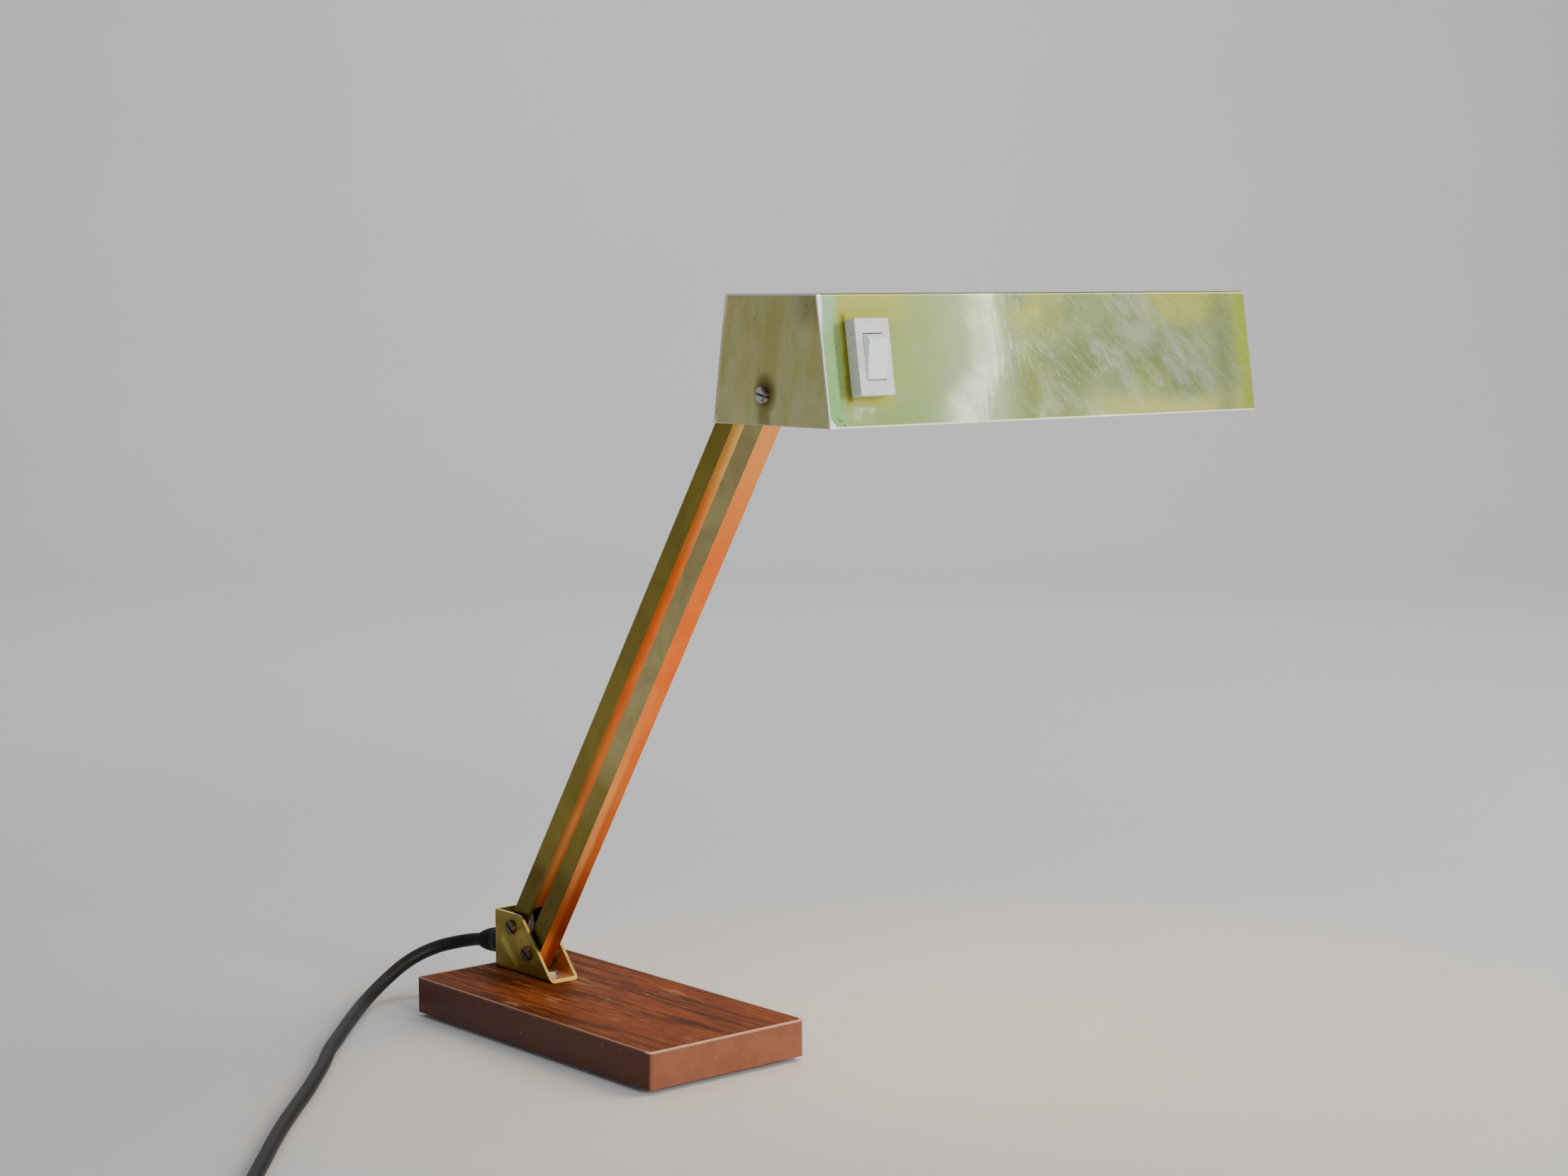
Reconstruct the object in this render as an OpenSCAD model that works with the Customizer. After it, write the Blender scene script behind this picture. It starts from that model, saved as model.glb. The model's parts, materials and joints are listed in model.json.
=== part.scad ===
// Swing arm desk lamp: a brass trough shade carried level by two parallel square tubes
// on a weighted, veneered base. Millimetres, +Z up.
// Origin: centre of the base footprint on the surface that the lamp stands on.
// +X is the way the arms lean, +Y runs along the pivots and the shade.

/* [Base] */
// Length of the base, along the arms' lean
base_l = 212; // [180:1:240]
// Width of the base
base_w = 102; // [90:1:130]
// Height of the base's top over the surface
base_top = 22; // [20:0.5:28]
// Gap under the shell, taken up by the felt
foot_gap = 2.5; // [2:0.1:2.7]
// Radius of the upright corners
base_r = 2.5; // [2:0.5:6]
// Sheet thickness of the shell
shell_t = 1.4; // [1.2:0.1:1.6]
// Thickness of the veneered board let into the top
veneer_t = 1.2; // [1:0.1:1.2]

/* [Bracket] */
// Outer face of the bracket's back plate
bracket_x = -98; // [-99:0.5:-96]
// Where the bracket's sloped edge meets the base
bracket_tip_x = -42.8; // [-46:0.2:-40]
// Height of the bracket over the base
bracket_h = 33.5; // [32:0.5:36]
// Sheet thickness of the bracket
bracket_t = 1.6; // [1.4:0.1:1.8]
// Rounding of the bracket's top front corner
bracket_r = 6; // [4:0.5:8]

/* [Arms] */
// Distance between a tube's two pivots
arm_len = 376.5; // [340:0.5:400]
// Lean of the arms from the vertical at rest
arm_lean = 33.1; // [30:0.1:36]
// Side of the square tube
tube_w = 12; // [11:0.5:12]
// Wall of the square tube
tube_t = 1; // [0.8:0.1:1]
// Middle of the arms, across the base
arm_y = 5; // [4:0.1:7]
// Tube beyond each pivot
tube_over = 7; // [6:0.5:7]
// Front tube's lower pivot, along the base
pivot_x = -66; // [-67:0.1:-65]
// Front tube's lower pivot, over the surface
pivot_z = 35; // [34.5:0.1:36]
// Rear pivots behind the front ones
pivot_back = 15; // [14.5:0.1:16]
// Rear pivots above the front ones
pivot_up = 12.5; // [12:0.1:13]

/* [Head] */
// Length of the shade
head_l = 309; // [280:1:330]
// Height of the shade
head_h = 64.5; // [60:0.5:70]
// Width of the shade's flat top
head_top_w = 69; // [66:1:74]
// Width across the shade's open underside
head_bottom_w = 88.6; // [84:0.2:94]
// Sheet thickness of the shade
sheet_t = 1; // [0.8:0.1:1.2]
// Outside radius of the shade's two bends
head_r = 1.8; // [1.4:0.1:3]
// How far an end plate sits inside the shade's cut edge
plate_inset = 0.5; // [0.3:0.1:0.8]
// Head pivot behind the middle of the shade
head_pivot_back = 5.8; // [3:0.1:7]
// Head pivot above the shade's bottom edge
head_pivot_up = 15; // [14:0.1:16]
// Height of the slot for the arms in the back wall
slot_h = 41; // [40:1:44]

/* [Switch] */
// Middle of the switch from the shade's left edge
switch_y = 27; // [26:0.5:40]
// Middle of the switch down the front wall
switch_d = 31.75; // [30:0.25:34]
// Width and height of the bezel
bezel = [22, 37.5]; // [20:0.5:40]
// How far the bezel stands out
bezel_h = 7; // [6:0.5:8]
// Width and height of the rocker's opening
rocker_hole = [12.8, 23.2]; // [12:0.2:24]
// Tilt of the rocker in each of its two places
rocker_tilt = 12; // [10:0.5:12]

/* [Lamp] */
// Height of the bulb's axis
bulb_z = 366; // [364:0.5:368]
// Radius of the tubular bulb
bulb_r = 15; // [12:0.5:15]
// Far end of the bulb along the shade
bulb_end = 262; // [240:1:275]

/* [Cord] */
// Diameter of the mains lead
cord_d = 7.4; // [7:0.1:7.4]
// Mean radius of the coil
coil_r = 40; // [38:0.5:42]

/* [Hidden] */
$fn = 48;
clear = 0.05;          // radial play of a running fit, and end play beside a washer
open_clear = 0.12;     // play at the pivot where the linkage is left open
pin_r = 2.5;           // pivot screws and pins
lead_r = 1.1;          // one inner lead
past = 1;              // how far a cutting shape runs past what it cuts

// Base
deck_z = base_top - veneer_t - 0.1 - shell_t;   // underside of the shell's top
shell_in_r = base_r - shell_t / 2;              // its corners, inside
veneer_gap = 0.4;
cover_t = 1;
cover_gap = 0.3;
felt_t = 2.7;
felt_inset = 6;
felt_hole_r = 5;
ballast_z = felt_t + cover_t;
ballast = [198, 90];
post_at = [88, 34];
post_r = 4;
cover_screw_r = 1.5;
cover_head = [2.8, 1.8];                        // radius and height of a screw's head
cover_screw_l = 10;
fixing_r = 2;          // bracket screws
fixing_head = [3.6, 2.4];
fixing_nut_t = 2.2;
fixing_x = [-88, -56];
corner_r = 4;          // corners of the ballast and the felt

// Arms. A tube's own frame has its lower pivot at the origin and runs up +Z.
gap_low = 1.5;                                   // spacer beside a tube in the bracket
bracket_top_x = -72;                             // where the sloped edge would meet the top
bracket_w = tube_w + 2 * gap_low + 2 * bracket_t + 4 * clear;
cheek_out = arm_y - bracket_w / 2;               // outer face of the left cheek
bracket_fold_r = 2.2;                            // its upright folds
pivot_head = [4, 1.6];
pivot_nut = [8, 4];                              // width across flats, and thickness
spacer_r = 4.5;
low_front = [pivot_x, 0, pivot_z];
low_rear = low_front + [-pivot_back, 0, pivot_up];
reach = arm_len * [sin(arm_lean), 0, cos(arm_lean)];
top_front = low_front + reach;
top_rear = low_rear + reach;
bush_r = 3.5;
slot_top = 19;                                   // arched wire slot, up from the pivot
slot_w = 8;

// Head
washer_t = 0.8;
washer_r = 5;
head_screw = [4, 2];                             // radius and height of its head
plate_in = arm_y - tube_w / 2 - washer_t - 2 * clear;   // inner face of the left end plate
plate_out = plate_in - sheet_t;
head_y = plate_out - plate_inset;                // left cut edge of the shade
head_x = top_front[0] + head_pivot_back;
head_z = top_front[2] - head_pivot_up;           // bottom edge
head_top = head_z + head_h;
wall_tilt = atan((head_bottom_w - head_top_w) / 2 / head_h);
carrier_y = arm_y + tube_w / 2 + washer_t + 2 * clear;
carrier_t = 2.5;
carrier_r = 9;
cheek_y = carrier_y + carrier_t + 1 + 2 * clear; // the head bracket's upright cheek
cheek_t = 1.5;
slot_y = [plate_in, cheek_y - 1.2];

// Reflector and lamp
liner_gap = 5;
liner_t = 0.8;
liner_y = [40, 302];
liner_z = 350;
liner_r = 4;
stud_at = [[-14, 50], [14, 50], [0, 284]];
stud_r = 1.5;
stud_l = 11;
stud_nut_t = 2.4;
holder_y = 40;
holder_l = 40;
holder_r = 19;
holder_neck = [14, 12];                          // radius and length of its narrow end
nipple_r = 5;
holder_foot_t = 1.5;
socket_y = holder_y + 0.5 + holder_foot_t;       // where the lamp holder starts
cap_y = socket_y + holder_neck[1] - 1;
cap = [13, 26];                                  // radius and length of the bulb's cap
glass_t = 0.8;

// Switch
rocker_r = 11.4;       // round ends of the rocker, about its pin
rocker_out = 3.5;      // the pin's height over the front wall
rocker_w = rocker_hole[0] - 0.5;
rocker_pin_r = 1.5;
rocker_under = 1.6;    // the rocker's underside below its pin
switch_depth = 14;
switch_screw_r = 1.25;
switch_screw_z = 15.3; // its two screws, above and below the middle

// Cord: the gland, then hand-laid points down to the surface and along it.
cord_r = cord_d / 2;
gland_z = 36;
gland_l = 24.33;
gland_drop = 9.46;     // droop of the strain relief
gland_tip_r = 4.5;
gland_r = 7;
gland_flange = [8, 3]; // radius and thickness
gland_bore = 5;
route = [
    [-122, 5, 32], [-131, 3.5, 30.5], [-139, -1, 28.5], [-146, -9, 26], [-150, -19, 22.5],
    [-151, -30, 18], [-149, -42, 12.5], [-144, -54, 8], [-136, -66, 5], [-125, -78, 3.8],
    [-112, -90, 3.7], [-100, -101, 3.7], [-82, -117, 3.7], [-63, -134, 3.7], [-45, -148, 3.7],
    [-27, -163, 3.7], [-6, -181, 3.7], [15, -200, 3.7], [35, -218, 3.7], [56, -236, 3.7],
    [78, -254, 3.7], [100, -272, 3.7], [121, -289, 3.7], [142, -306, 3.8], [162, -322, 4.2],
    [178, -334, 4.8]
];
coil_at = [212, -302];
coil_rows = 2;
coil_cols = 3;
tie_t = 1.2;
tie_w = 10;
tie_turn = 60;
tail = [
    [222, -348, 12.3], [236, -345, 12.3], [250, -338, 13.5], [264, -330, 16], [278, -322, 18.4],
    [290, -315, 19]
];
plug_turn = 30;        // the plug points this way from +X
plug_r = 19;
plug_l = 65;
plug_pin = [2.4, 19];  // radius and length
plug_pin_out = 9.5;    // a pin's distance from the plug's axis

brass = [0.66, 0.58, 0.30];
steel = [0.62, 0.62, 0.60];
lacquer = [0.36, 0.20, 0.15];
plastic = [0.80, 0.82, 0.80];
black = [0.06, 0.06, 0.06];
nylon = [0.85, 0.83, 0.75];
cream = [0.90, 0.87, 0.78];
fibre = [0.55, 0.42, 0.30];

// ---- shared shapes ----

// A flat rectangle with round corners.
module rounded(l, w, r) {
    square([l - 2 * r, w], center = true);
    square([l, w - 2 * r], center = true);
    for (x = [-1, 1], y = [-1, 1])
        translate([x * (l / 2 - r), y * (w / 2 - r)]) circle(r);
}

// A cylinder along +Y that starts at y.
module along_y(p, y, len, r) {
    translate([p[0], y, p[2]]) rotate([-90, 0, 0]) cylinder(h = len, r = r);
}

// A ring along +Y.
module ring_y(p, y, len, r, bore) {
    difference() {
        along_y(p, y, len, r);
        along_y(p, y - past, len + 2 * past, bore);
    }
}

// A hexagonal nut along +Y.
module nut_y(p, y, len, flats, bore) {
    difference() {
        translate([p[0], y, p[2]]) rotate([-90, 0, 0])
            cylinder(h = len, r = flats / 2 / cos(30), $fn = 6);
        along_y(p, y - past, len + 2 * past, bore);
    }
}

// A slotted screw along +Y: its head ends at y and its shank runs on from there.
module slotted_y(p, y, len, head_r, head_h, slot_turn) {
    difference() {
        union() {
            along_y(p, y - head_h, head_h, head_r);
            along_y(p, y - 0.01, len + 0.01, pin_r);
        }
        translate([p[0], y - head_h, p[2]]) rotate([0, slot_turn, 0])
            cube([3 * head_r, 1.8, 1.1], center = true);
    }
}

// Places children in a tube's own frame, at the rest lean.
module on_arm(p) {
    translate([p[0], arm_y, p[2]]) rotate([0, arm_lean, 0]) children();
}

// Places children on the front wall: +X out of it, +Y along it, -Z down it.
module on_front(y, d) {
    translate([head_x + head_top_w / 2, head_y, head_top]) rotate([0, -wall_tilt, 0])
        translate([0, y, -d]) children();
}

// Places children at the switch's two screws, with +Z out of the front wall.
module at_switch_screws(x) {
    for (s = [-1, 1]) translate([x, 0, switch_screw_z * s]) rotate([0, 90, 0]) children();
}

// Half width of the shade's outside at a height z.
function half_at(z) = head_top_w / 2 + (head_top - z) * tan(wall_tilt);

// The shade's section between two insets: a trapezium with its top corners rounded.
function arc(cx, cz, r, a, b) = [for (i = [0:8]) let (t = a + (b - a) * i / 8)
    [cx + r * cos(t), cz + r * sin(t)]];
function trough(inset, z0, z1, r) =
    let (
        slant = inset / cos(wall_tilt),
        top = z1 - inset,
        half_top = half_at(top) - slant,
        half_bottom = half_at(z0) - slant,
        in = r * tan((90 - wall_tilt) / 2)
    )
    concat(
        [[head_x - half_bottom, z0], [head_x + half_bottom, z0]],
        arc(head_x + half_top - in, top - r, r, wall_tilt, 90),
        arc(head_x - half_top + in, top - r, r, 90, 180 - wall_tilt)
    );

// Extrudes an XZ outline along +Y from y.
module lay(y, len) {
    translate([0, y + len, 0]) rotate([90, 0, 0]) linear_extrude(len) children();
}

// A round tube swept along points, one ring at each point.
function unit(v) = v / norm(v);
function heading(p, i) = unit(p[min(i + 1, len(p) - 1)] - p[max(i - 1, 0)]);
function ring_at(p, i, r, n, first, last) =
    let (
        t = i == 0 && first != undef ? first : i == len(p) - 1 && last != undef ? last : heading(p, i),
        side = unit(cross(t, [0, 0, 1])),
        up = cross(side, t)
    )
    [for (k = [0:n - 1]) p[i] + r * (cos(360 * k / n) * side + sin(360 * k / n) * up)];
module sweep(p, r, n = 10, first = undef, last = undef) {
    m = len(p);
    points = [for (i = [0:m - 1]) each ring_at(p, i, r, n, first, last)];
    sides = [for (i = [0:m - 2], k = [0:n - 1]) let (
        a = i * n + k, b = i * n + (k + 1) % n, c = a + n, d = b + n)
        each [[a, b, d], [a, d, c]]];
    caps = [[for (k = [n - 1:-1:0]) k], [for (k = [0:n - 1]) (m - 1) * n + k]];
    polyhedron(points, concat(sides, caps), convexity = 10);
}

// ---- base ----

module at_corners(z) {
    for (x = [-1, 1], y = [-1, 1]) translate([x * post_at[0], y * post_at[1], z]) children();
}

module at_fixings(z) {
    for (x = fixing_x) translate([x, arm_y, z]) children();
}

// The base's outline, drawn in by a margin.
module base_outline(margin, r) {
    rounded(base_l - 2 * margin, base_w - 2 * margin, r);
}

module base_shell() {
    color(lacquer) {
        difference() {
            translate([0, 0, foot_gap]) linear_extrude(base_top - foot_gap) base_outline(0, base_r);
            translate([0, 0, foot_gap - past]) linear_extrude(deck_z - foot_gap + past)
                base_outline(shell_t, shell_in_r);
            translate([0, 0, deck_z + shell_t]) linear_extrude(base_top)
                base_outline(shell_t, shell_in_r);
            at_fixings(0) cylinder(h = 2 * base_top, r = fixing_r);
        }
        at_corners(ballast_z) difference() {
            cylinder(h = deck_z - ballast_z + 0.2, r = post_r);
            translate([0, 0, -past]) cylinder(h = cover_screw_l + past, r = cover_screw_r);
        }
    }
}

module veneer_top() {
    color([0.30, 0.16, 0.10]) difference() {
        translate([0, 0, deck_z + shell_t]) linear_extrude(veneer_t)
            base_outline(shell_t + veneer_gap, shell_in_r);
        at_fixings(0) cylinder(h = 2 * base_top, r = fixing_r);
    }
}

module ballast_weight() {
    color([0.30, 0.30, 0.31]) difference() {
        translate([0, 0, ballast_z]) linear_extrude(deck_z - ballast_z)
            rounded(ballast[0], ballast[1], corner_r);
        at_corners(0) cylinder(h = 2 * base_top, r = post_r + 0.4);
        at_fixings(deck_z - fixing_head[1] - 1.1) cylinder(h = base_top, r = fixing_head[0] + 1.4);
    }
}

module bottom_cover() {
    color(steel) difference() {
        translate([0, 0, felt_t]) linear_extrude(cover_t)
            base_outline(shell_t + cover_gap, shell_in_r);
        at_corners(0) cylinder(h = base_top, r = cover_screw_r + 0.2);
    }
}

module felt_pad() {
    color(black) difference() {
        linear_extrude(felt_t) base_outline(felt_inset, corner_r);
        at_corners(-past) cylinder(h = felt_t + 2 * past, r = felt_hole_r);
    }
}

module cover_screws() {
    color(steel) at_corners(felt_t - cover_head[1]) difference() {
        union() {
            cylinder(h = cover_head[1], r = cover_head[0]);
            cylinder(h = cover_screw_l, r = cover_screw_r);
        }
        cube([3 * cover_head[0], 0.9, 1.4], center = true);
    }
}

// ---- bracket ----

// The cheek's outline: a right triangle with a flat, rounded top.
slope = atan2(bracket_h, bracket_tip_x - bracket_top_x);
module cheek_outline() {
    top = base_top + bracket_h;
    in = bracket_r * tan(slope / 2);
    corner = bracket_top_x - in;                      // middle of the rounding
    difference() {
        polygon([[bracket_x, base_top], [bracket_tip_x, base_top], [bracket_top_x, top], [bracket_x, top]]);
        polygon([[bracket_top_x + 1, top + 1], [corner, top + 1], [corner, top],
            [corner, top - bracket_r], [corner + bracket_r * sin(slope),
            top - bracket_r + bracket_r * cos(slope)], [bracket_top_x + in, top + 1]]);
    }
    translate([corner, top - bracket_r]) circle(bracket_r);
}

module pivot_bracket() {
    inner = bracket_w - 2 * bracket_t;
    color(brass) difference() {
        intersection() {
            lay(cheek_out, bracket_w) cheek_outline();
            translate([bracket_x, 0, 0]) rotate([90, 0, 90]) linear_extrude(100)
                translate([arm_y, base_top + 30]) rounded(bracket_w, 60, bracket_fold_r);
            linear_extrude(100) translate([bracket_x + 40, arm_y]) rounded(80, bracket_w, bracket_fold_r);
        }
        translate([bracket_x + bracket_t, arm_y - inner / 2, base_top + bracket_t])
            cube([100, inner, 60]);
        for (p = [low_front, low_rear]) along_y(p, cheek_out - 5, 40, pin_r);
        at_fixings(0) cylinder(h = 2 * base_top, r = fixing_r);
        translate([bracket_x - past, arm_y, gland_z]) rotate([0, 90, 0])
            cylinder(h = bracket_t + 2 * past, r = gland_bore);
    }
}

module bracket_screws() {
    color(steel) at_fixings(0) {
        translate([0, 0, deck_z - fixing_head[1]]) difference() {
            cylinder(h = fixing_head[1], r = fixing_head[0]);
            cube([3 * fixing_head[0], 1, 1.6], center = true);
        }
        translate([0, 0, deck_z - 0.1])
            cylinder(h = base_top + bracket_t + fixing_nut_t + 0.2 - deck_z, r = fixing_r);
    }
}

module bracket_nuts() {
    color(steel) at_fixings(base_top + bracket_t) difference() {
        cylinder(h = fixing_nut_t, r = 3.5 / cos(30), $fn = 6);
        translate([0, 0, -past]) cylinder(h = fixing_nut_t + 2 * past, r = fixing_r);
    }
}

module lower_pivot_screws() {
    color([0.16, 0.13, 0.11]) for (p = [low_front, low_rear])
        slotted_y(p, cheek_out, bracket_w + pivot_nut[1] + 1, pivot_head[0], pivot_head[1], 35);
}

module lower_pivot_nuts() {
    color(steel) for (p = [low_front, low_rear])
        nut_y(p, cheek_out + bracket_w, pivot_nut[1], pivot_nut[0], pin_r);
}

module lower_spacers() {
    color(nylon) for (p = [low_front, low_rear]) {
        ring_y(p, cheek_out + bracket_t, gap_low, spacer_r, pin_r);
        ring_y(p, cheek_out + bracket_w - bracket_t - gap_low, gap_low, spacer_r, pin_r);
    }
}

module strain_relief() {
    color(black) {
        difference() {
            union() {
                translate([bracket_x - gland_flange[1], arm_y, gland_z]) rotate([0, 90, 0])
                    cylinder(h = gland_flange[1], r = gland_flange[0]);
                translate([bracket_x - 0.5, arm_y, gland_z]) rotate([0, -90 - gland_drop, 0])
                    cylinder(h = gland_l - 0.5, r1 = gland_r, r2 = gland_tip_r);
                translate([bracket_x, arm_y, gland_z]) rotate([0, -90 - gland_drop, 0])
                    cylinder(h = gland_l, r = cord_r);
            }
            translate([bracket_x, arm_y - 20, 0]) cube([20, 40, 60]);
        }
        translate([bracket_x - 1, arm_y, gland_z]) rotate([0, 90, 0]) cylinder(h = 8, r = gland_bore);
    }
}

module gland_nut() {
    color(black) translate([bracket_x + bracket_t, arm_y, gland_z]) rotate([0, 90, 0])
        difference() {
            cylinder(h = 3.6, r = gland_r, $fn = 6);
            translate([0, 0, -past]) cylinder(h = 10, r = gland_bore);
        }
}

module entry_leads() {
    start = bracket_x + 7;
    color(cream) for (s = [-1, 1])
        sweep([[start, arm_y + 1.4 * s, gland_z], [start + 4, arm_y + 1.4 * s, gland_z - 1.5],
            [start + 8, arm_y + 1.3 * s, gland_z - 3], [start + 13, arm_y + 1.3 * s, gland_z - 3]],
            lead_r, 8, first = [1, 0, 0]);
}

// ---- arms ----

// A square tube with its pivot holes, in its own frame; the slots take the leads.
module tube(hole_low, hole_top, slotted) {
    color(brass) difference() {
        translate([-tube_w / 2, -tube_w / 2, -tube_over])
            cube([tube_w, tube_w, arm_len + 2 * tube_over]);
        translate([tube_t - tube_w / 2, tube_t - tube_w / 2, -tube_over - 1])
            cube([tube_w - 2 * tube_t, tube_w - 2 * tube_t, arm_len + 2 * tube_over + 2]);
        rotate([90, 0, 0]) cylinder(h = 40, r = hole_low, center = true);
        translate([0, 0, arm_len]) rotate([90, 0, 0]) cylinder(h = 40, r = hole_top, center = true);
        if (slotted) for (m = [0, 1])
            translate([0, 0, m * arm_len]) mirror([0, 0, m]) {
                translate([2, -slot_w / 2, -20]) cube([10, slot_w, 20 + slot_top - slot_w / 2]);
                translate([2, 0, slot_top - slot_w / 2]) rotate([0, 90, 0])
                    cylinder(h = 10, r = slot_w / 2);
            }
    }
}

// Sleeves between a tube's walls, one at each pivot.
module bushes(bore_low, bore_top) {
    inside = tube_w - 2 * tube_t;
    color(nylon) for (b = [[0, bore_low], [arm_len, bore_top]])
        translate([0, 0, b[0]]) rotate([90, 0, 0]) difference() {
            cylinder(h = inside, r = bush_r, center = true);
            cylinder(h = inside + 2 * past, r = b[1], center = true);
        }
}

module rear_tube() { on_arm(low_rear) tube(pin_r + clear, pin_r + clear, true); }
module rear_bushes() { on_arm(low_rear) bushes(pin_r + clear, pin_r + clear); }
module front_tube() { on_arm(low_front) tube(pin_r + clear, pin_r + open_clear, false); }
module front_bushes() { on_arm(low_front) bushes(pin_r + clear, pin_r + open_clear); }

// The twin lead through the rear tube, in and out by its slots and past the sleeves.
module arm_lead() {
    low = [[5.1, -3], [5.1, 3], [4.2, 9], [2.2, 17], [0.6, 26], [0, 40]];
    up = concat([for (q = low) [q[0], 0, q[1]]],
        [for (i = [len(low) - 1:-1:0]) [low[i][0], 0, arm_len - low[i][1]]]);
    color(cream) for (s = [-1, 1])
        on_arm(low_rear) rotate([90, 0, 90]) translate([1.2 * s, 0, 0])
            sweep([for (q = up) [0, q[2], q[0]]], lead_r, 8);
}

// ---- carrier between the arms and the head ----

module carrier_plate() {
    middle = (top_front + top_rear) / 2;
    dist = norm([pivot_back, pivot_up]);
    color(brass) difference() {
        lay(carrier_y, carrier_t) translate([middle[0], middle[2]])
            rotate(-atan2(pivot_up, pivot_back))
                rounded(dist + 2 * carrier_r, 2 * carrier_r, 6);
        for (p = [top_front, top_rear]) along_y(p, carrier_y - past, carrier_t + 2 * past, pin_r);
    }
}

module rear_upper_pin() {
    y0 = arm_y - tube_w / 2 - clear;
    color(steel) {
        along_y(top_rear, y0 - 0.8, 0.8, 4.2);
        along_y(top_rear, y0 - 0.1, carrier_y + carrier_t - y0 + 0.1, pin_r);
    }
}

module head_pivot_screw() {
    color([0.70, 0.69, 0.66])
        slotted_y(top_front, plate_out - clear, cheek_y + cheek_t + 6 - plate_out,
            head_screw[0], head_screw[1], 12);
}

module carrier_washers() {
    color(fibre) {
        ring_y(top_front, plate_in + clear, washer_t, washer_r, pin_r);
        ring_y(top_front, carrier_y - washer_t, washer_t, washer_r, pin_r);
        ring_y(top_rear, carrier_y - washer_t, washer_t, washer_r, pin_r);
        ring_y(top_front, carrier_y + carrier_t, 1, washer_r, pin_r);
    }
}

module head_lock_nut() {
    color(steel) nut_y(top_front, cheek_y + cheek_t + clear, 5, 8, pin_r);
}

// ---- head ----

module head_shell() {
    color(brass) difference() {
        lay(head_y, head_l) difference() {
            polygon(trough(0, head_z, head_top, head_r));
            polygon(trough(sheet_t, head_z - past, head_top, head_r - sheet_t));
        }
        translate([head_x - head_bottom_w, slot_y[0], head_z - past])
            cube([head_bottom_w - 20, slot_y[1] - slot_y[0], slot_h + past]);
        on_front(switch_y, switch_d) {
            cube([6, rocker_hole[0] + 0.8, rocker_hole[1] + 0.6], center = true);
            at_switch_screws(-3) cylinder(h = 6, r = switch_screw_r + 0.15);
        }
    }
}

// An end plate closes the trough's section; the left one carries the pivot.
module end_plate(y) {
    lay(y, sheet_t) polygon(trough(sheet_t, head_z, head_top, head_r - sheet_t));
}

module left_end_plate() {
    color(brass) difference() {
        end_plate(plate_out);
        along_y(top_front, plate_out - 5, 10, pin_r + clear);
    }
}

module right_end_plate() {
    color(brass) end_plate(head_y + head_l - plate_inset - sheet_t);
}

// An upright cheek beside the carrier with a foot soldered under the shade's top.
module head_bracket() {
    under = head_top - sheet_t;
    color(steel) difference() {
        union() {
            translate([top_front[0] - 8, cheek_y, top_front[2]])
                cube([30, cheek_t, under - top_front[2]]);
            along_y(top_front, cheek_y, cheek_t, 8);
            translate([top_front[0] - 8, cheek_y, under - cheek_t]) cube([30, 14, cheek_t]);
        }
        along_y(top_front, cheek_y - 5, 10, pin_r + clear);
        along_y([top_front[0] + 14, 0, under - 14], cheek_y - 5, 10, fixing_r);
    }
}

module earth_screw() {
    p = [top_front[0] + 14, 0, head_top - sheet_t - 14];
    color(brass) {
        along_y(p, cheek_y, 7, fixing_r);
        along_y(p, cheek_y + cheek_t, 1, 4.5);
        along_y(p, cheek_y + cheek_t + 1, 2.4, 3.6);
    }
}

module reflector() {
    color([0.93, 0.92, 0.88]) difference() {
        lay(liner_y[0], liner_y[1] - liner_y[0]) difference() {
            polygon(trough(sheet_t + liner_gap, liner_z, head_top, liner_r));
            polygon(trough(sheet_t + liner_gap + liner_t, liner_z - past, head_top, liner_r - liner_t));
        }
        at_studs() cylinder(h = 2 * stud_l, r = stud_r, center = true);
    }
}

module at_studs() {
    for (s = stud_at) translate([head_x + s[0], s[1], head_top - sheet_t]) children();
}

module reflector_studs() {
    color(brass) at_studs() translate([0, 0, -stud_l]) cylinder(h = stud_l, r = stud_r);
}

module reflector_spacers() {
    color(steel) at_studs() translate([0, 0, -liner_gap]) difference() {
        cylinder(h = liner_gap, r = 3.2);
        translate([0, 0, -past]) cylinder(h = liner_gap + 2 * past, r = stud_r);
    }
}

module reflector_nuts() {
    color(steel) for (s = stud_at) {
        under = head_top - sheet_t - liner_gap - liner_t - (s[1] < 100 ? holder_foot_t : 0);
        translate([head_x + s[0], s[1], under - stud_nut_t]) difference() {
            cylinder(h = stud_nut_t, r = 2.75 / cos(30), $fn = 6);
            translate([0, 0, -past]) cylinder(h = stud_nut_t + 2 * past, r = stud_r);
        }
    }
}

module holder_bracket() {
    foot_z = head_top - sheet_t - liner_gap - liner_t - holder_foot_t;
    color(steel) difference() {
        union() {
            translate([head_x - 20, holder_y + 0.5, foot_z]) cube([40, 16, holder_foot_t]);
            translate([head_x - 20, holder_y + 0.5, bulb_z - 8])
                cube([40, holder_foot_t, foot_z - bulb_z + 9]);
        }
        at_studs() cylinder(h = 3 * stud_l, r = stud_r, center = true);
        along_y([head_x, 0, bulb_z], holder_y - 5, 20, nipple_r);
    }
}

module lamp_holder() {
    p = [head_x, 0, bulb_z];
    color([0.10, 0.09, 0.08]) {
        ring_y(p, holder_y - 6, socket_y - holder_y + 7, nipple_r, 3);
        difference() {
            union() {
                along_y(p, socket_y, holder_neck[1], holder_neck[0]);
                along_y(p, cap_y, holder_l - holder_neck[1] + 1, holder_r);
            }
            along_y(p, cap_y - 3, holder_l, cap[0] + 0.4);
            along_y(p, socket_y - 5, 20, 3);
        }
    }
}

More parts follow.
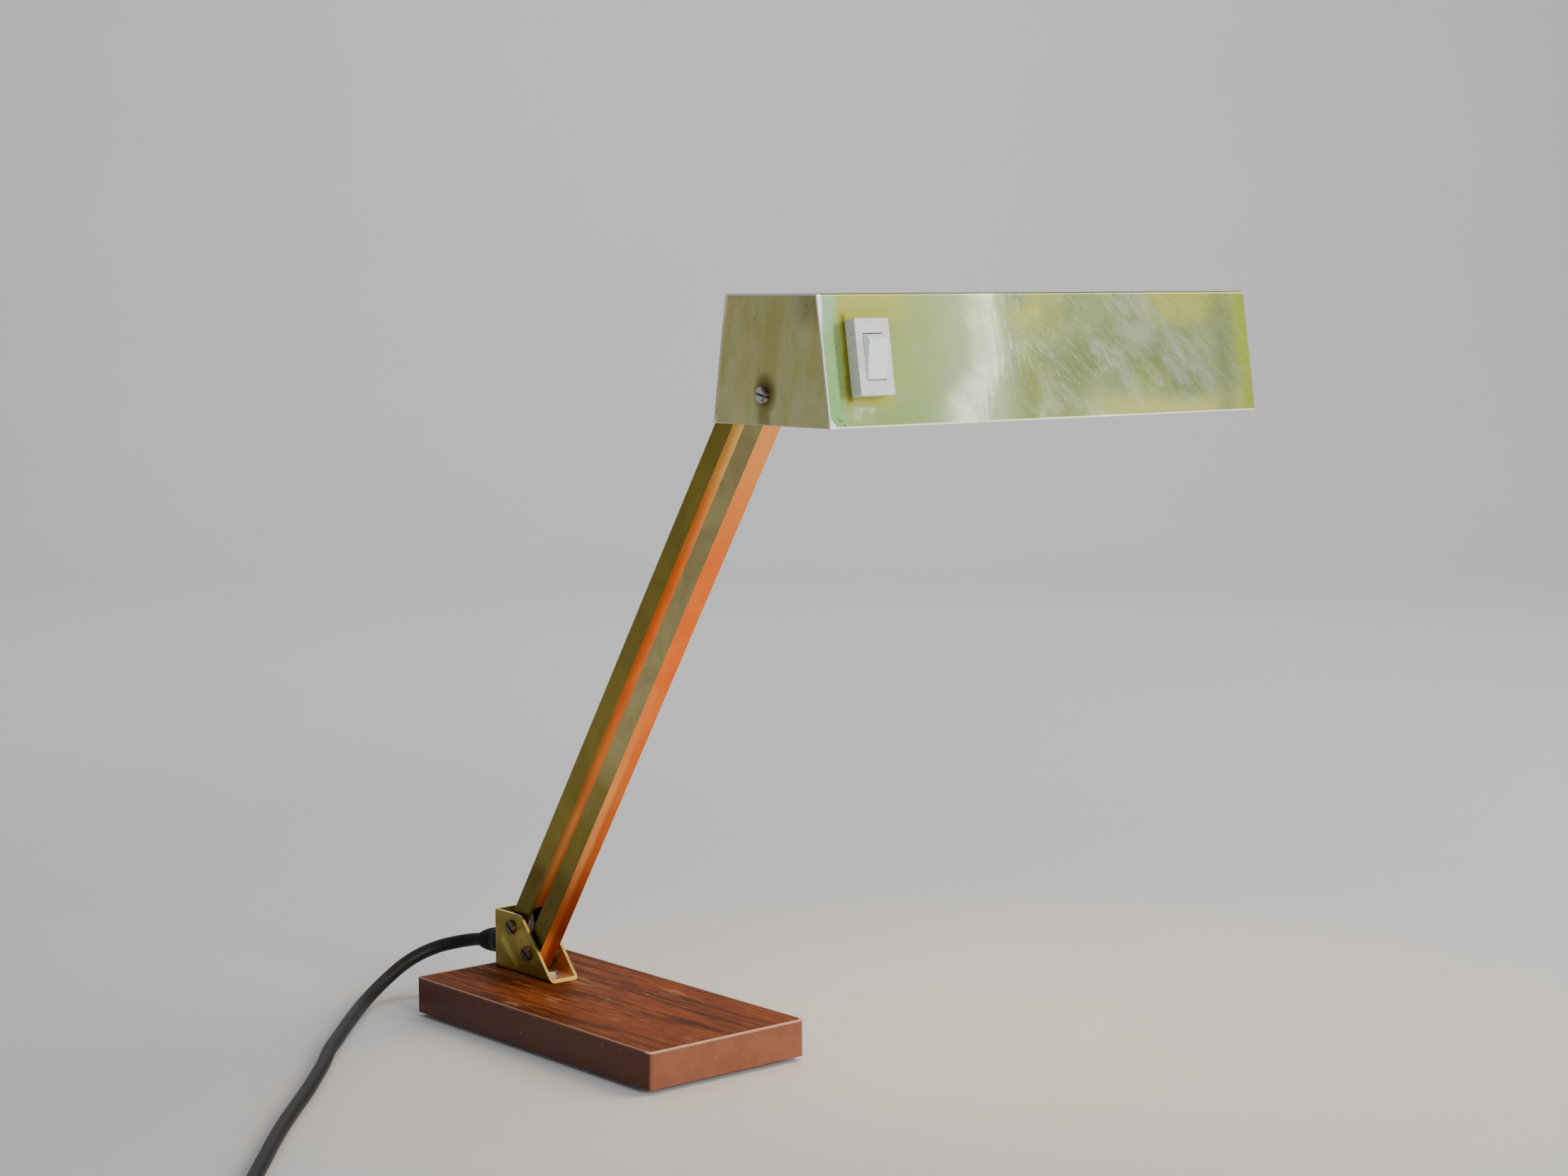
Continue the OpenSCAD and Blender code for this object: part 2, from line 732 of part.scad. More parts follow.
module bulb_cap() {
    p = [head_x, 0, bulb_z];
    color([0.75, 0.70, 0.55]) {
        along_y(p, cap_y - 3, 3.1, nipple_r);
        difference() {
            along_y(p, cap_y, cap[1], cap[0]);
            along_y(p, cap_y + 1, cap[1], cap[0] - 0.8);
        }
    }
}

// Half the section of the tubular bulb: a neck, a straight part and a round end.
module bulb_half(r, neck_r, end) {
    square([neck_r, 7]);
    translate([0, 6]) square([r, end - 6]);
    intersection() {
        translate([0, end]) circle(r);
        square([r, end + r]);
    }
}

module bulb_glass() {
    start = cap_y + cap[1];
    end = bulb_end - start - bulb_r;
    color([0.97, 0.93, 0.82]) translate([head_x, start, bulb_z]) rotate([-90, 0, 0]) difference() {
        rotate_extrude() bulb_half(bulb_r, cap[0] - 0.5, end);
        translate([0, 0, 1]) rotate_extrude() bulb_half(bulb_r - glass_t, cap[0] - 0.5 - glass_t, end - 1);
    }
}

module head_leads() {
    nose = [head_x, holder_y, bulb_z];
    to_switch = [[4.6, -17, -14], [8.6, -15, -8], [12.6, -15, 0], [17.6, -15.5, 5], [22.6, -16, 6]];
    to_lamp = [[6.6, -13, 18], [2.6, -12, 12], [0.6, -10, 6], [0.1, -7, 1.5], [0.1, -1, 0]];
    color(cream) for (line = [to_switch, to_lamp]) sweep([for (q = line) nose + q], lead_r, 8);
}

// ---- switch ----

module switch_bezel() {
    color(plastic) on_front(switch_y, switch_d) difference() {
        translate([bezel_h / 2, 0, 0]) rotate([0, 90, 0]) linear_extrude(bezel_h, center = true)
            rounded(bezel[1], bezel[0], 1);
        translate([-past, -rocker_hole[0] / 2, -rocker_hole[1] / 2])
            cube([bezel_h + 2 * past, rocker_hole[0], rocker_hole[1]]);
        translate([rocker_out, 0, 0]) rotate([90, 0, 0])
            cylinder(h = rocker_w + 4.2, r = rocker_pin_r + clear, center = true);
        at_switch_screws(-past) cylinder(h = 5, r = switch_screw_r);
    }
}

module switch_body() {
    color(black) on_front(switch_y, switch_d) {
        difference() {
            translate([-sheet_t - switch_depth, -9.5, -18]) cube([switch_depth, 19, 36]);
            at_switch_screws(-sheet_t - switch_depth - past)
                cylinder(h = switch_depth + 2 * past, r = switch_screw_r);
        }
        translate([-sheet_t - 0.1, -6.2, -11.4]) cube([sheet_t - 0.6, 12.4, 22.8]);
    }
}

module switch_screws() {
    color(steel) on_front(switch_y, switch_d) at_switch_screws(-sheet_t - switch_depth) {
        cylinder(h = switch_depth + sheet_t + 3.8, r = switch_screw_r);
        translate([0, 0, -1.6]) cylinder(h = 1.6, r = 2.3);
    }
}

module switch_terminals() {
    color(brass) on_front(switch_y, switch_d) for (z = [-8, 0, 8])
        translate([-sheet_t - switch_depth - 7, -2.4, z - 0.4]) cube([7, 4.8, 0.8]);
}

// The rocker in its rest place, top out; its pin sits at the middle of its round ends.
module rocker() {
    color(plastic) on_front(switch_y, switch_d) translate([rocker_out, 0, 0])
        rotate([0, rocker_tilt, 0]) {
            intersection() {
                rotate([90, 0, 0]) cylinder(h = rocker_w, r = rocker_r, center = true);
                translate([-rocker_under, -10, -20]) cube([6 + rocker_under, 20, 40]);
            }
            rotate([90, 0, 0]) cylinder(h = rocker_w + 3.6, r = rocker_pin_r, center = true);
        }
}

// ---- cord ----

module mains_cord() {
    color(black) sweep(route, cord_r, 10, first = unit([-24, 0, -4]));
}

module coil_section(grow) {
    w = coil_cols * cord_d + 2 * grow;
    h = coil_rows * cord_d + 2 * grow;
    translate([0, tie_t + coil_rows * cord_r]) rounded(w, h, cord_r);
}

module cord_coil() {
    color(black) translate([coil_at[0], coil_at[1], 0]) rotate_extrude($fn = 72)
        translate([coil_r, 0]) coil_section(0);
}

module cord_tie() {
    color([0.5, 0.5, 0.48]) translate([coil_at[0], coil_at[1], 0]) rotate([90, 0, tie_turn])
        linear_extrude(tie_w, center = true) translate([coil_r, 0]) difference() {
            coil_section(tie_t);
            coil_section(0);
        }
}

module cord_tail() {
    color(black) sweep(tail, cord_r, 10, last = [cos(plug_turn), sin(plug_turn), 0]);
}

module at_plug() {
    end = tail[len(tail) - 1];
    translate(end) rotate([0, 0, plug_turn]) rotate([0, 90, 0]) children();
}

module mains_plug() {
    color(black) at_plug() rotate_extrude() polygon([
        [0, 0], [5, 0], [6.5, 20], [9, 21], [13, 30], [14, 44], [16, 48],
        [plug_r, 50], [plug_r, plug_l - 1], [plug_r - 1, plug_l], [0, plug_l]
    ]);
}

module plug_pins() {
    color(steel) at_plug() for (s = [-1, 1]) translate([0, plug_pin_out * s, plug_l]) {
        cylinder(h = plug_pin[1] - 2, r = plug_pin[0]);
        translate([0, 0, plug_pin[1] - 2]) cylinder(h = 2, r1 = plug_pin[0], r2 = plug_pin[0] - 1);
    }
}

base_shell();
veneer_top();
ballast_weight();
bottom_cover();
felt_pad();
cover_screws();
pivot_bracket();
bracket_screws();
bracket_nuts();
lower_pivot_screws();
lower_pivot_nuts();
lower_spacers();
strain_relief();
gland_nut();
entry_leads();
rear_tube();
rear_bushes();
arm_lead();
front_tube();
front_bushes();
carrier_plate();
rear_upper_pin();
head_pivot_screw();
carrier_washers();
head_lock_nut();
head_shell();
left_end_plate();
right_end_plate();
head_bracket();
earth_screw();
reflector();
reflector_studs();
reflector_spacers();
reflector_nuts();
holder_bracket();
lamp_holder();
bulb_cap();
bulb_glass();
head_leads();
switch_bezel();
switch_body();
switch_screws();
switch_terminals();
rocker();
mains_cord();
cord_coil();
cord_tie();
cord_tail();
mains_plug();
plug_pins();
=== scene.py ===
import json
import math

import bmesh
import bpy
from mathutils import Matrix, Vector


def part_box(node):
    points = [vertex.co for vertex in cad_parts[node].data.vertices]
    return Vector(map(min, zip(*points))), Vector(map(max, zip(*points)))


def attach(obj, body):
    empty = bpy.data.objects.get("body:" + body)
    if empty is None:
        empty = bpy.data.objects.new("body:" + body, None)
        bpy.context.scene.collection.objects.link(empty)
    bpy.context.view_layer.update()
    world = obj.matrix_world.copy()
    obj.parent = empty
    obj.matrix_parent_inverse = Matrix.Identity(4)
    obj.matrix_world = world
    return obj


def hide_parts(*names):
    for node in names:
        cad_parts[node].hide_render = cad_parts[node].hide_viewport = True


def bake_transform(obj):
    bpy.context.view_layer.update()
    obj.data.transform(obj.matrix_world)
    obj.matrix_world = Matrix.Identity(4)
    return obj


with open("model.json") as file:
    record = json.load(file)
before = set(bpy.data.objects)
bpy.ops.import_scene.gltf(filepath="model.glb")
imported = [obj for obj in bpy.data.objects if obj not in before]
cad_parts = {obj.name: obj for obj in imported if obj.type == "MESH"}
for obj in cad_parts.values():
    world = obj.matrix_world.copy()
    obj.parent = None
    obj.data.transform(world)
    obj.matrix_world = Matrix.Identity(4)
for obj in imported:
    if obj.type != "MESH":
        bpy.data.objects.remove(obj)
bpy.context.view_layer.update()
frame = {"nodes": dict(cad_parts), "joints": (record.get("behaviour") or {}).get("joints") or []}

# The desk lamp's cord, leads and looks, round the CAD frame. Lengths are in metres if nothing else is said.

MM = 0.001
SCENE = bpy.context.scene
NODES = frame["nodes"]
# Faces that meet at less than so many degrees are smoothed into each other.
FLAT_ANGLE, STRAP_ANGLE, LATHE_ANGLE, ROUND_ANGLE = 35, 40, 50, 60

# ---------------------------------------------------------------- places from the frame


def middle(node):
    """The centre of a CAD node's box."""
    low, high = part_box(node)
    return (low + high) / 2


HEAD_LOW, HEAD_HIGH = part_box("head_shell")
BASE_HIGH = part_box("base_shell")[1]
BRACKET_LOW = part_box("pivot_bracket")[0]
JOINTS = {j["name"]: Vector(j["pos_m"]) for j in frame["joints"]}
ARM_Y = JOINTS["arm_swing"].y
PIVOT = JOINTS["head_tilt"]                     # the head's screw, the front tube's upper pivot
ARM = (JOINTS["head_tilt"] - JOINTS["front_arm_swing"]).normalized()    # up along the tubes
ARM_FRONT = Vector((ARM.z, 0, -ARM.x))          # out of the tubes' front faces
ARM_LEAN = 33                                   # degrees from upright, at rest


def add_object(name, data):
    """A new object in the scene."""
    obj = bpy.data.objects.new(name, data)
    SCENE.collection.objects.link(obj)
    return obj


# ---------------------------------------------------------------- camera

VIEW_AZIMUTH, VIEW_ELEVATION, VIEW_ROLL = (math.radians(a) for a in (49.67, 6.02, -0.224))
VIEW_TARGET = Vector((0.1511, 0, 0.2560))
VIEW_DISTANCE = 1.4022
LENS_MM, SENSOR_MM = 65.53, 36


def place_camera():
    """A long lens, level with the top of the shade and off its left front corner."""
    back = Vector((math.sin(VIEW_AZIMUTH) * math.cos(VIEW_ELEVATION),
                   -math.cos(VIEW_AZIMUTH) * math.cos(VIEW_ELEVATION), math.sin(VIEW_ELEVATION)))
    level = Vector((math.cos(VIEW_AZIMUTH), math.sin(VIEW_AZIMUTH), 0))
    upright = back.cross(level)
    right = level * math.cos(VIEW_ROLL) + upright * math.sin(VIEW_ROLL)
    up = upright * math.cos(VIEW_ROLL) - level * math.sin(VIEW_ROLL)
    data = bpy.data.cameras.new("camera")
    data.sensor_width = SENSOR_MM
    data.lens = LENS_MM
    camera = add_object("camera", data)
    turn = Matrix((right, up, back)).transposed().to_4x4()
    camera.matrix_world = Matrix.Translation(VIEW_TARGET + back * VIEW_DISTANCE) @ turn
    SCENE.camera = camera


place_camera()

# ---------------------------------------------------------------- cord

# The route, the coil and the tail of the mains lead are in millimetres.
CORD_D = 7.4 * MM
ROUTE = [
    (-98, 5, 36), (-110, 5, 34), (-122, 5, 32), (-131, 3.5, 30.5), (-139, -1, 28.5), (-146, -9, 26),
    (-150, -19, 22.5), (-151, -30, 18), (-149, -42, 12.5), (-144, -54, 8), (-136, -66, 5),
    (-125, -78, 3.8), (-112, -90, 3.7), (-100, -101, 3.7), (-82, -117, 3.7), (-63, -134, 3.7),
    (-45, -148, 3.7), (-27, -163, 3.7), (-6, -181, 3.7), (15, -200, 3.7), (35, -218, 3.7),
    (56, -236, 3.7), (78, -254, 3.7), (100, -272, 3.7), (121, -289, 3.7), (142, -306, 3.8),
    (162, -322, 4.2)]
TAIL = [(236, -345, 12.3), (250, -338, 13.5), (264, -330, 16), (278, -322, 18.4), (290, -315, 19)]
EXIT = Vector(ROUTE[0]) * MM        # where the lead leaves the bracket, in metres
COIL_AT = Vector((212, -302, 0))
COIL_OUT = 47.0                     # radius of the outermost turn's middle
COIL_TURNS = 5                      # whole turns
COIL_FROM, COIL_TO = -136.7, -77.7  # degrees where the lead joins and leaves the coil
COIL_LOW, COIL_RISE = 2.4, 0.3      # turns in the lower row, and turns taken to climb
COIL_Z = 4.9                        # height of the lower row's middle
TIE_AT = 60.0                       # degrees round the coil
PLUG_TURN = math.radians(30)


def coil_points(per_turn=36):
    """The coil's middle line: inwards on the lower row, up, and outwards on the upper row."""
    pitch = CORD_D / MM
    turns = COIL_TURNS + (COIL_TO - COIL_FROM) / 360
    inner = COIL_OUT - pitch * COIL_LOW
    points = []
    for i in range(int(turns * per_turn) + 1):
        u = i / per_turn
        radius = max(COIL_OUT - pitch * u, inner) if u < COIL_LOW else inner
        radius += pitch * max(0.0, u - COIL_LOW - COIL_RISE)
        climb = min(1.0, max(0.0, (u - COIL_LOW) / COIL_RISE))
        angle = math.radians(COIL_FROM + 360 * u)
        height = COIL_Z + pitch * climb * climb * (3 - 2 * climb)
        points.append((COIL_AT.x + radius * math.cos(angle), COIL_AT.y + radius * math.sin(angle), height))
    return points


def smooth(points, parts):
    """A Catmull-Rom line through the points, with each stretch in so many parts."""
    p = [Vector(q) for q in points]
    p = [2 * p[0] - p[1]] + p + [2 * p[-1] - p[-2]]
    line = []
    for a, b, c, d in zip(p, p[1:], p[2:], p[3:]):
        for k in range(parts):
            t = k / parts
            line.append(0.5 * (2 * b + (c - a) * t + (2 * a - 5 * b + 4 * c - d) * t ** 2
                               + (3 * b - a - 3 * c + d) * t ** 3))
    return line + [p[-2]]


def tube_curve(name, line, radius, roundness):
    """A round curve object along a line of points in metres."""
    data = bpy.data.curves.new(name, "CURVE")
    data.dimensions = "3D"
    data.bevel_depth = radius
    data.bevel_resolution = roundness
    data.use_fill_caps = True
    spline = data.splines.new("POLY")
    spline.points.add(len(line) - 1)
    for point, place in zip(spline.points, line):
        point.co = (*place, 1)
    spline.use_smooth = True
    return add_object(name, data)


def to_mesh(curve):
    """A curve object turned into a mesh object with the same name."""
    data = bpy.data.meshes.new_from_object(curve)
    name = curve.name
    bpy.data.objects.remove(curve)
    obj = add_object(name, data)
    smooth_faces(obj, ROUND_ANGLE)
    return obj


def cord_line(parts=5):
    """The mains lead's middle line in metres: its route, the coil and the tail, eased into each other."""
    coiled = coil_points()
    first = smooth(ROUTE + coiled[:3], parts)[:-parts]
    last = smooth(coiled[-3:] + TAIL, parts)[parts:]
    return [q * MM for q in first + [Vector(c) for c in coiled[2:-2]] + last]


cord = tube_curve("mains_lead", cord_line(), CORD_D / 2, roundness=8)

# ---------------------------------------------------------------- mesh helpers


def mesh_object(name, bm, angle=FLAT_ANGLE):
    """Turns a bmesh into a smoothed object in the scene."""
    bmesh.ops.recalc_face_normals(bm, faces=bm.faces)
    data = bpy.data.meshes.new(name)
    bm.to_mesh(data)
    bm.free()
    obj = add_object(name, data)
    smooth_faces(obj, angle)
    return obj


def smooth_faces(obj, angle=FLAT_ANGLE):
    """Smooth faces with sharp edges kept where they turn by more than the angle."""
    data = obj.data
    data.polygons.foreach_set("use_smooth", [True] * len(data.polygons))
    data.set_sharp_from_angle(angle=math.radians(angle))


def add_bevel(obj, width, segments, angle):
    """Rounds the edges that turn by more than the angle, by a modifier."""
    bevel = obj.modifiers.new("bevel", "BEVEL")
    bevel.width = width
    bevel.segments = segments
    bevel.limit_method = "ANGLE"
    bevel.angle_limit = math.radians(angle)
    return bevel


def round_edges(obj):
    """Slightly rounded edges on a built piece."""
    add_bevel(obj, width=0.0002, segments=2, angle=30)
    obj.modifiers.new("normals", "WEIGHTED_NORMAL")


def soften(node, width, segments):
    """Rounds a CAD node's edges and smooths it, by modifiers that leave its own mesh alone."""
    obj = NODES[node]
    weld = obj.modifiers.new("weld", "WELD")
    weld.merge_threshold = 0.01 * MM
    flat = obj.modifiers.new("flat", "DECIMATE")
    flat.decimate_type = "DISSOLVE"
    flat.angle_limit = math.radians(0.4)
    bevel = add_bevel(obj, width, segments, angle=28)
    smooth_faces(obj, 180)
    normals = obj.modifiers.new("normals", "WEIGHTED_NORMAL")
    normals.keep_sharp = True
    return bevel


def lathe(name, profile, origin, axis, segments):
    """Turns (distance along the axis, radius) pairs, in metres, round an axis through origin."""
    axis = Vector(axis).normalized()
    side = axis.orthogonal().normalized()
    other = axis.cross(side)
    bm = bmesh.new()
    rings = []
    for along, radius in profile:
        centre = origin + axis * along
        if radius == 0:
            rings.append([bm.verts.new(centre)])
            continue
        angles = [2 * math.pi * k / segments for k in range(segments)]
        rings.append([bm.verts.new(centre + radius * (side * math.cos(a) + other * math.sin(a)))
                      for a in angles])
    for a, b in zip(rings, rings[1:]):
        for k in range(segments):
            n = (k + 1) % segments
            corners = [a[k % len(a)], a[n % len(a)], b[n % len(b)], b[k % len(b)]]
            corners = list(dict.fromkeys(corners))
            if len(corners) > 2:
                bm.faces.new(corners)
    return mesh_object(name, bm, LATHE_ANGLE)


def box_mesh(bm, low, high, turn):
    """Adds a box between two corners, then turns it by a matrix."""
    made = bmesh.ops.create_cube(bm, size=1)["verts"]
    low, high = Vector(low), Vector(high)
    for v in made:
        v.co = Vector(((v.co.x + 0.5) * (high.x - low.x) + low.x,
                       (v.co.y + 0.5) * (high.y - low.y) + low.y,
                       (v.co.z + 0.5) * (high.z - low.z) + low.z))
    bmesh.ops.transform(bm, matrix=turn, verts=made)


def cut(obj, bm):
    """Takes a bmesh's shape out of a piece, and leaves no modifier behind."""
    tool = mesh_object("cutter", bm)
    boolean = obj.modifiers.new("cut", "BOOLEAN")
    boolean.operation = "DIFFERENCE"
    boolean.object = tool
    graph = bpy.context.evaluated_depsgraph_get()
    result = bpy.data.meshes.new_from_object(obj.evaluated_get(graph))
    obj.modifiers.clear()
    obj.data = result
    bpy.data.objects.remove(tool)
    smooth_faces(obj)

# ---------------------------------------------------------------- material helpers


class Paint:
    """A Principled material and short names for the nodes that feed it."""

    def __init__(self, name, **values):
        self.material = bpy.data.materials.new(name)
        self.material.use_nodes = True
        self.tree = self.material.node_tree
        self.shader = self.tree.nodes["Principled BSDF"]
        for key, value in values.items():
            self.shader.inputs[key.replace("_", " ")].default_value = value

    def node(self, kind, **settings):
        """A new node with some of its settings."""
        n = self.tree.nodes.new(kind)
        for key, value in settings.items():
            setattr(n, key, value)
        return n

    def put(self, socket, value):
        """Links a socket, or sets a plain value."""
        if isinstance(value, bpy.types.NodeSocket):
            self.tree.links.new(value, socket)
        elif value is not None:
            socket.default_value = value

    def to(self, name, value):
        """Feeds one of the shader's own sockets."""
        self.put(self.shader.inputs[name], value)

    def place(self, scale=(1, 1, 1), turn=(0, 0, 0), shift=(0, 0, 0)):
        """Where a point lies on the piece, in metres, turned, then scaled and moved."""
        vector = self.node("ShaderNodeTexCoord").outputs["Object"]
        if any(turn):
            turned = self.node("ShaderNodeMapping")
            self.put(turned.inputs["Vector"], vector)
            turned.inputs["Rotation"].default_value = [math.radians(a) for a in turn]
            vector = turned.outputs["Vector"]
        mapping = self.node("ShaderNodeMapping")
        self.put(mapping.inputs["Vector"], vector)
        mapping.inputs["Location"].default_value = shift
        mapping.inputs["Scale"].default_value = scale
        return mapping.outputs["Vector"]

    def xyz(self):
        """A point's place on the piece in metres, as three sockets."""
        split = self.node("ShaderNodeSeparateXYZ")
        self.put(split.inputs[0], self.place())
        return split.outputs[0], split.outputs[1], split.outputs[2]

    def facing(self, direction):
        """How far the surface faces a direction of the piece's own."""
        coords = self.node("ShaderNodeTexCoord")
        dot = self.node("ShaderNodeVectorMath", operation="DOT_PRODUCT")
        self.put(dot.inputs[0], coords.outputs["Normal"])
        dot.inputs[1].default_value = direction
        return dot.outputs["Value"]

    def noise(self, size, detail=4, rough=0.55, distort=0.0, **where):
        """A noise, mostly from 0.3 to 0.7; where is what place takes."""
        n = self.node("ShaderNodeTexNoise")
        self.put(n.inputs["Vector"], self.place(**where))
        n.inputs["Scale"].default_value = size
        n.inputs["Detail"].default_value = detail
        n.inputs["Roughness"].default_value = rough
        n.inputs["Distortion"].default_value = distort
        return n.outputs["Fac"]

    def math(self, operation, a, b=None):
        """One sum on sockets or numbers."""
        n = self.node("ShaderNodeMath", operation=operation)
        self.put(n.inputs[0], a)
        self.put(n.inputs[1], b)
        return n.outputs[0]

    def plus(self, a, b):
        """a + b."""
        return self.math("ADD", a, b)

    def minus(self, a, b):
        """a - b."""
        return self.math("SUBTRACT", a, b)

    def times(self, first, *others):
        """The product of all the values."""
        for value in others:
            first = self.math("MULTIPLY", first, value)
        return first

    def most(self, first, *others):
        """The greatest of all the values."""
        for value in others:
            first = self.math("MAXIMUM", first, value)
        return first

    def sway(self, noise, reach):
        """A noise made into a length either side of nothing."""
        return self.times(self.minus(noise, 0.5), reach)

    def ease(self, value, low, high):
        """0 below low and 1 above high, eased between; the other way round if high is less."""
        n = self.node("ShaderNodeMapRange", interpolation_type="SMOOTHSTEP")
        self.put(n.inputs["Value"], value)
        n.inputs["From Min"].default_value = min(low, high)
        n.inputs["From Max"].default_value = max(low, high)
        n.inputs["To Min"].default_value = 0 if low < high else 1
        n.inputs["To Max"].default_value = 1 if low < high else 0
        return n.outputs["Result"]

    def between(self, value, low, high, soft):
        """1 between low and high, with soft edges."""
        return self.times(self.ease(value, low - soft, low + soft),
                          self.ease(value, high + soft, high - soft))

    def dash(self, a, b, at, angle, length, width):
        """1 on a short straight mark at a place on a face, given by two of its coordinates."""
        da, db = self.minus(a, at[0]), self.minus(b, at[1])
        c, s = math.cos(math.radians(angle)), math.sin(math.radians(angle))
        along = self.plus(self.times(da, c), self.times(db, s))
        across = self.minus(self.times(db, c), self.times(da, s))
        return self.times(self.between(along, -length / 2, length / 2, width / 2),
                          self.between(across, -width / 2, width / 2, width / 2))

    def mix(self, amount, a, b):
        """A tone between a and b."""
        n = self.node("ShaderNodeMix", data_type="RGBA")
        self.put(n.inputs["Factor"], amount)
        for socket, tone in ((n.inputs[6], a), (n.inputs[7], b)):
            self.put(socket, (*tone, 1) if isinstance(tone, tuple) else tone)
        return n.outputs[2]

    def over(self, colour, mask, tone, amount=None):
        """Lays a tone over a colour where the mask is 1, wholly or by an amount."""
        return self.mix(self.times(mask, amount) if amount else mask, colour, tone)

    def lerp(self, amount, a, b):
        """A number between a and b."""
        n = self.node("ShaderNodeMix", data_type="FLOAT")
        self.put(n.inputs["Factor"], amount)
        self.put(n.inputs[2], a)
        self.put(n.inputs[3], b)
        return n.outputs[0]

    def bump(self, height, strength, distance):
        """Raises the surface by a height, 0 to 1, of so many metres."""
        n = self.node("ShaderNodeBump")
        n.inputs["Strength"].default_value = strength
        n.inputs["Distance"].default_value = distance
        self.put(n.inputs["Height"], height)
        self.to("Normal", n.outputs["Normal"])


def paint(obj, *paints):
    """Gives a piece its materials; a second one goes on rounded edges that ask for it."""
    obj.data.materials.clear()
    for p in paints:
        obj.data.materials.append(p.material)


def scaled(tone, factor):
    """A darker or lighter tone of the same colour."""
    return tuple(factor * c for c in tone)

# ---------------------------------------------------------------- materials

# Lengths in the materials are in metres, and tones are linear red, green and blue.

# Dark ticks on the shade: place from its left lower corner, angle in degrees, and length.
SHADE_TICKS = (((0.0062, 0.0042), -55, 0.0030), ((0.0078, 0.0036), -40, 0.0016),
               ((0.0096, 0.0015), -20, 0.0020), ((0.0088, 0.0380), 80, 0.0008))
TICK_WIDTH = 0.0005
# The tone of the painted highlight band, a reflection painted into the brass.
HIGHLIGHT_TONE = (0.97, 1.0, 0.70)


def scratches(p, turn):
    """Thin straight scratches, 0 to 1, that run along one turned direction."""
    lines = p.noise(1, detail=3, rough=0.7, scale=(900, 30, 900), turn=turn)
    return p.ease(lines, 0.54, 0.68)


class ShadeFace:
    """The places, directions and noises that the shade's brass is painted by."""

    def __init__(self, p):
        self.y, self.z = p.xyz()[1:]
        self.along = p.minus(self.y, HEAD_LOW.y)            # from the left end
        self.up = p.minus(self.z, HEAD_LOW.z)               # from the lower edge
        self.front = p.ease(p.facing((1, 0, 0.1)), 0.6, 0.9)
        self.right = p.ease(self.along, 0.112, 0.140)       # past the painted highlight band
        self.clouds = p.noise(24, detail=4, distort=0.4)
        self.small = p.noise(90, detail=4, shift=(5, 5, 5))
        self.highlight_strands = p.noise(1, detail=4, rough=0.65, scale=(300, 420, 34), shift=(2, 2, 9))
        self.drift = p.sway(self.clouds, 0.020)
        self.ragged = p.sway(self.small, 0.008)
        self.ragged_along = p.plus(self.along, p.times(self.ragged, 0.5))
        sheen = p.noise(1, detail=5, rough=0.65, scale=(46, 24, 56), turn=(45, 0, 0))
        self.rubbed = p.times(p.ease(sheen, 0.42, 0.66), self.right)


def shade_ground(p, face):
    """Cloudy olive and grey green, darker and rubbed in streaks past the painted highlight band."""
    cloudy = p.ease(face.clouds, 0.34, 0.66)
    near = p.mix(cloudy, (0.35, 0.47, 0.22), (0.28, 0.39, 0.13))
    near = p.over(near, p.ease(face.along, 0.055, 0.095), (0.45, 0.55, 0.40), 0.7)
    far = p.mix(cloudy, (0.252, 0.305, 0.136), (0.18, 0.233, 0.080))
    return p.over(p.mix(face.right, near, far), face.rubbed, (0.34, 0.40, 0.29), 0.65)


def shade_patches(p, face, colour):
    """Yellow patches, a brighter lower edge, and a dark and a yellow-green strip at the right end."""
    along, up = face.along, face.up
    patches = p.noise(17, detail=3, distort=0.5, shift=(3, 1, 2))
    top_right = p.times(p.ease(up, 0.036, 0.058), face.right)
    yellow = p.times(p.ease(patches, 0.42, 0.60), p.lerp(top_right, 0.30, 0.90))
    colour = p.over(colour, yellow, (0.38, 0.41, 0.09))
    foot = p.times(p.ease(p.plus(up, face.drift), 0.016, 0.004), p.ease(along, 0.15, 0.22))
    colour = p.over(colour, foot, (0.50, 0.52, 0.15), 0.75)
    dark_end = p.between(p.plus(along, p.times(face.drift, 0.6)), 0.280, 0.294, 0.008)
    colour = p.over(colour, dark_end, (0.19, 0.22, 0.10), 0.65)
    end_strip = p.times(p.ease(face.ragged_along, 0.2955, 0.3040), p.lerp(face.front, 0.3, 1.0))
    colour = p.over(colour, end_strip, (0.32, 0.40, 0.050))
    corner = p.times(p.ease(up, 0.046, 0.056), p.ease(p.plus(along, face.drift), 0.066, 0.046))
    return p.over(colour, corner, (0.46, 0.46, 0.11), 0.8)


def shade_margin(p, face, colour):
    """The pale green margin at the left end, paler still at its top."""
    mottle = p.ease(p.noise(34, detail=2, shift=(1, 8, 3)), 0.42, 0.60)
    pale = p.mix(mottle, (0.29, 0.52, 0.21), (0.19, 0.49, 0.13))
    pale = p.over(pale, p.ease(p.minus(face.up, p.times(face.along, 1.2)), 0.038, 0.050), (0.36, 0.52, 0.32))
    margin = p.ease(face.ragged_along, 0.0132, 0.0102)
    return p.over(colour, p.times(margin, p.lerp(face.front, 0.3, 1.0)), pale)


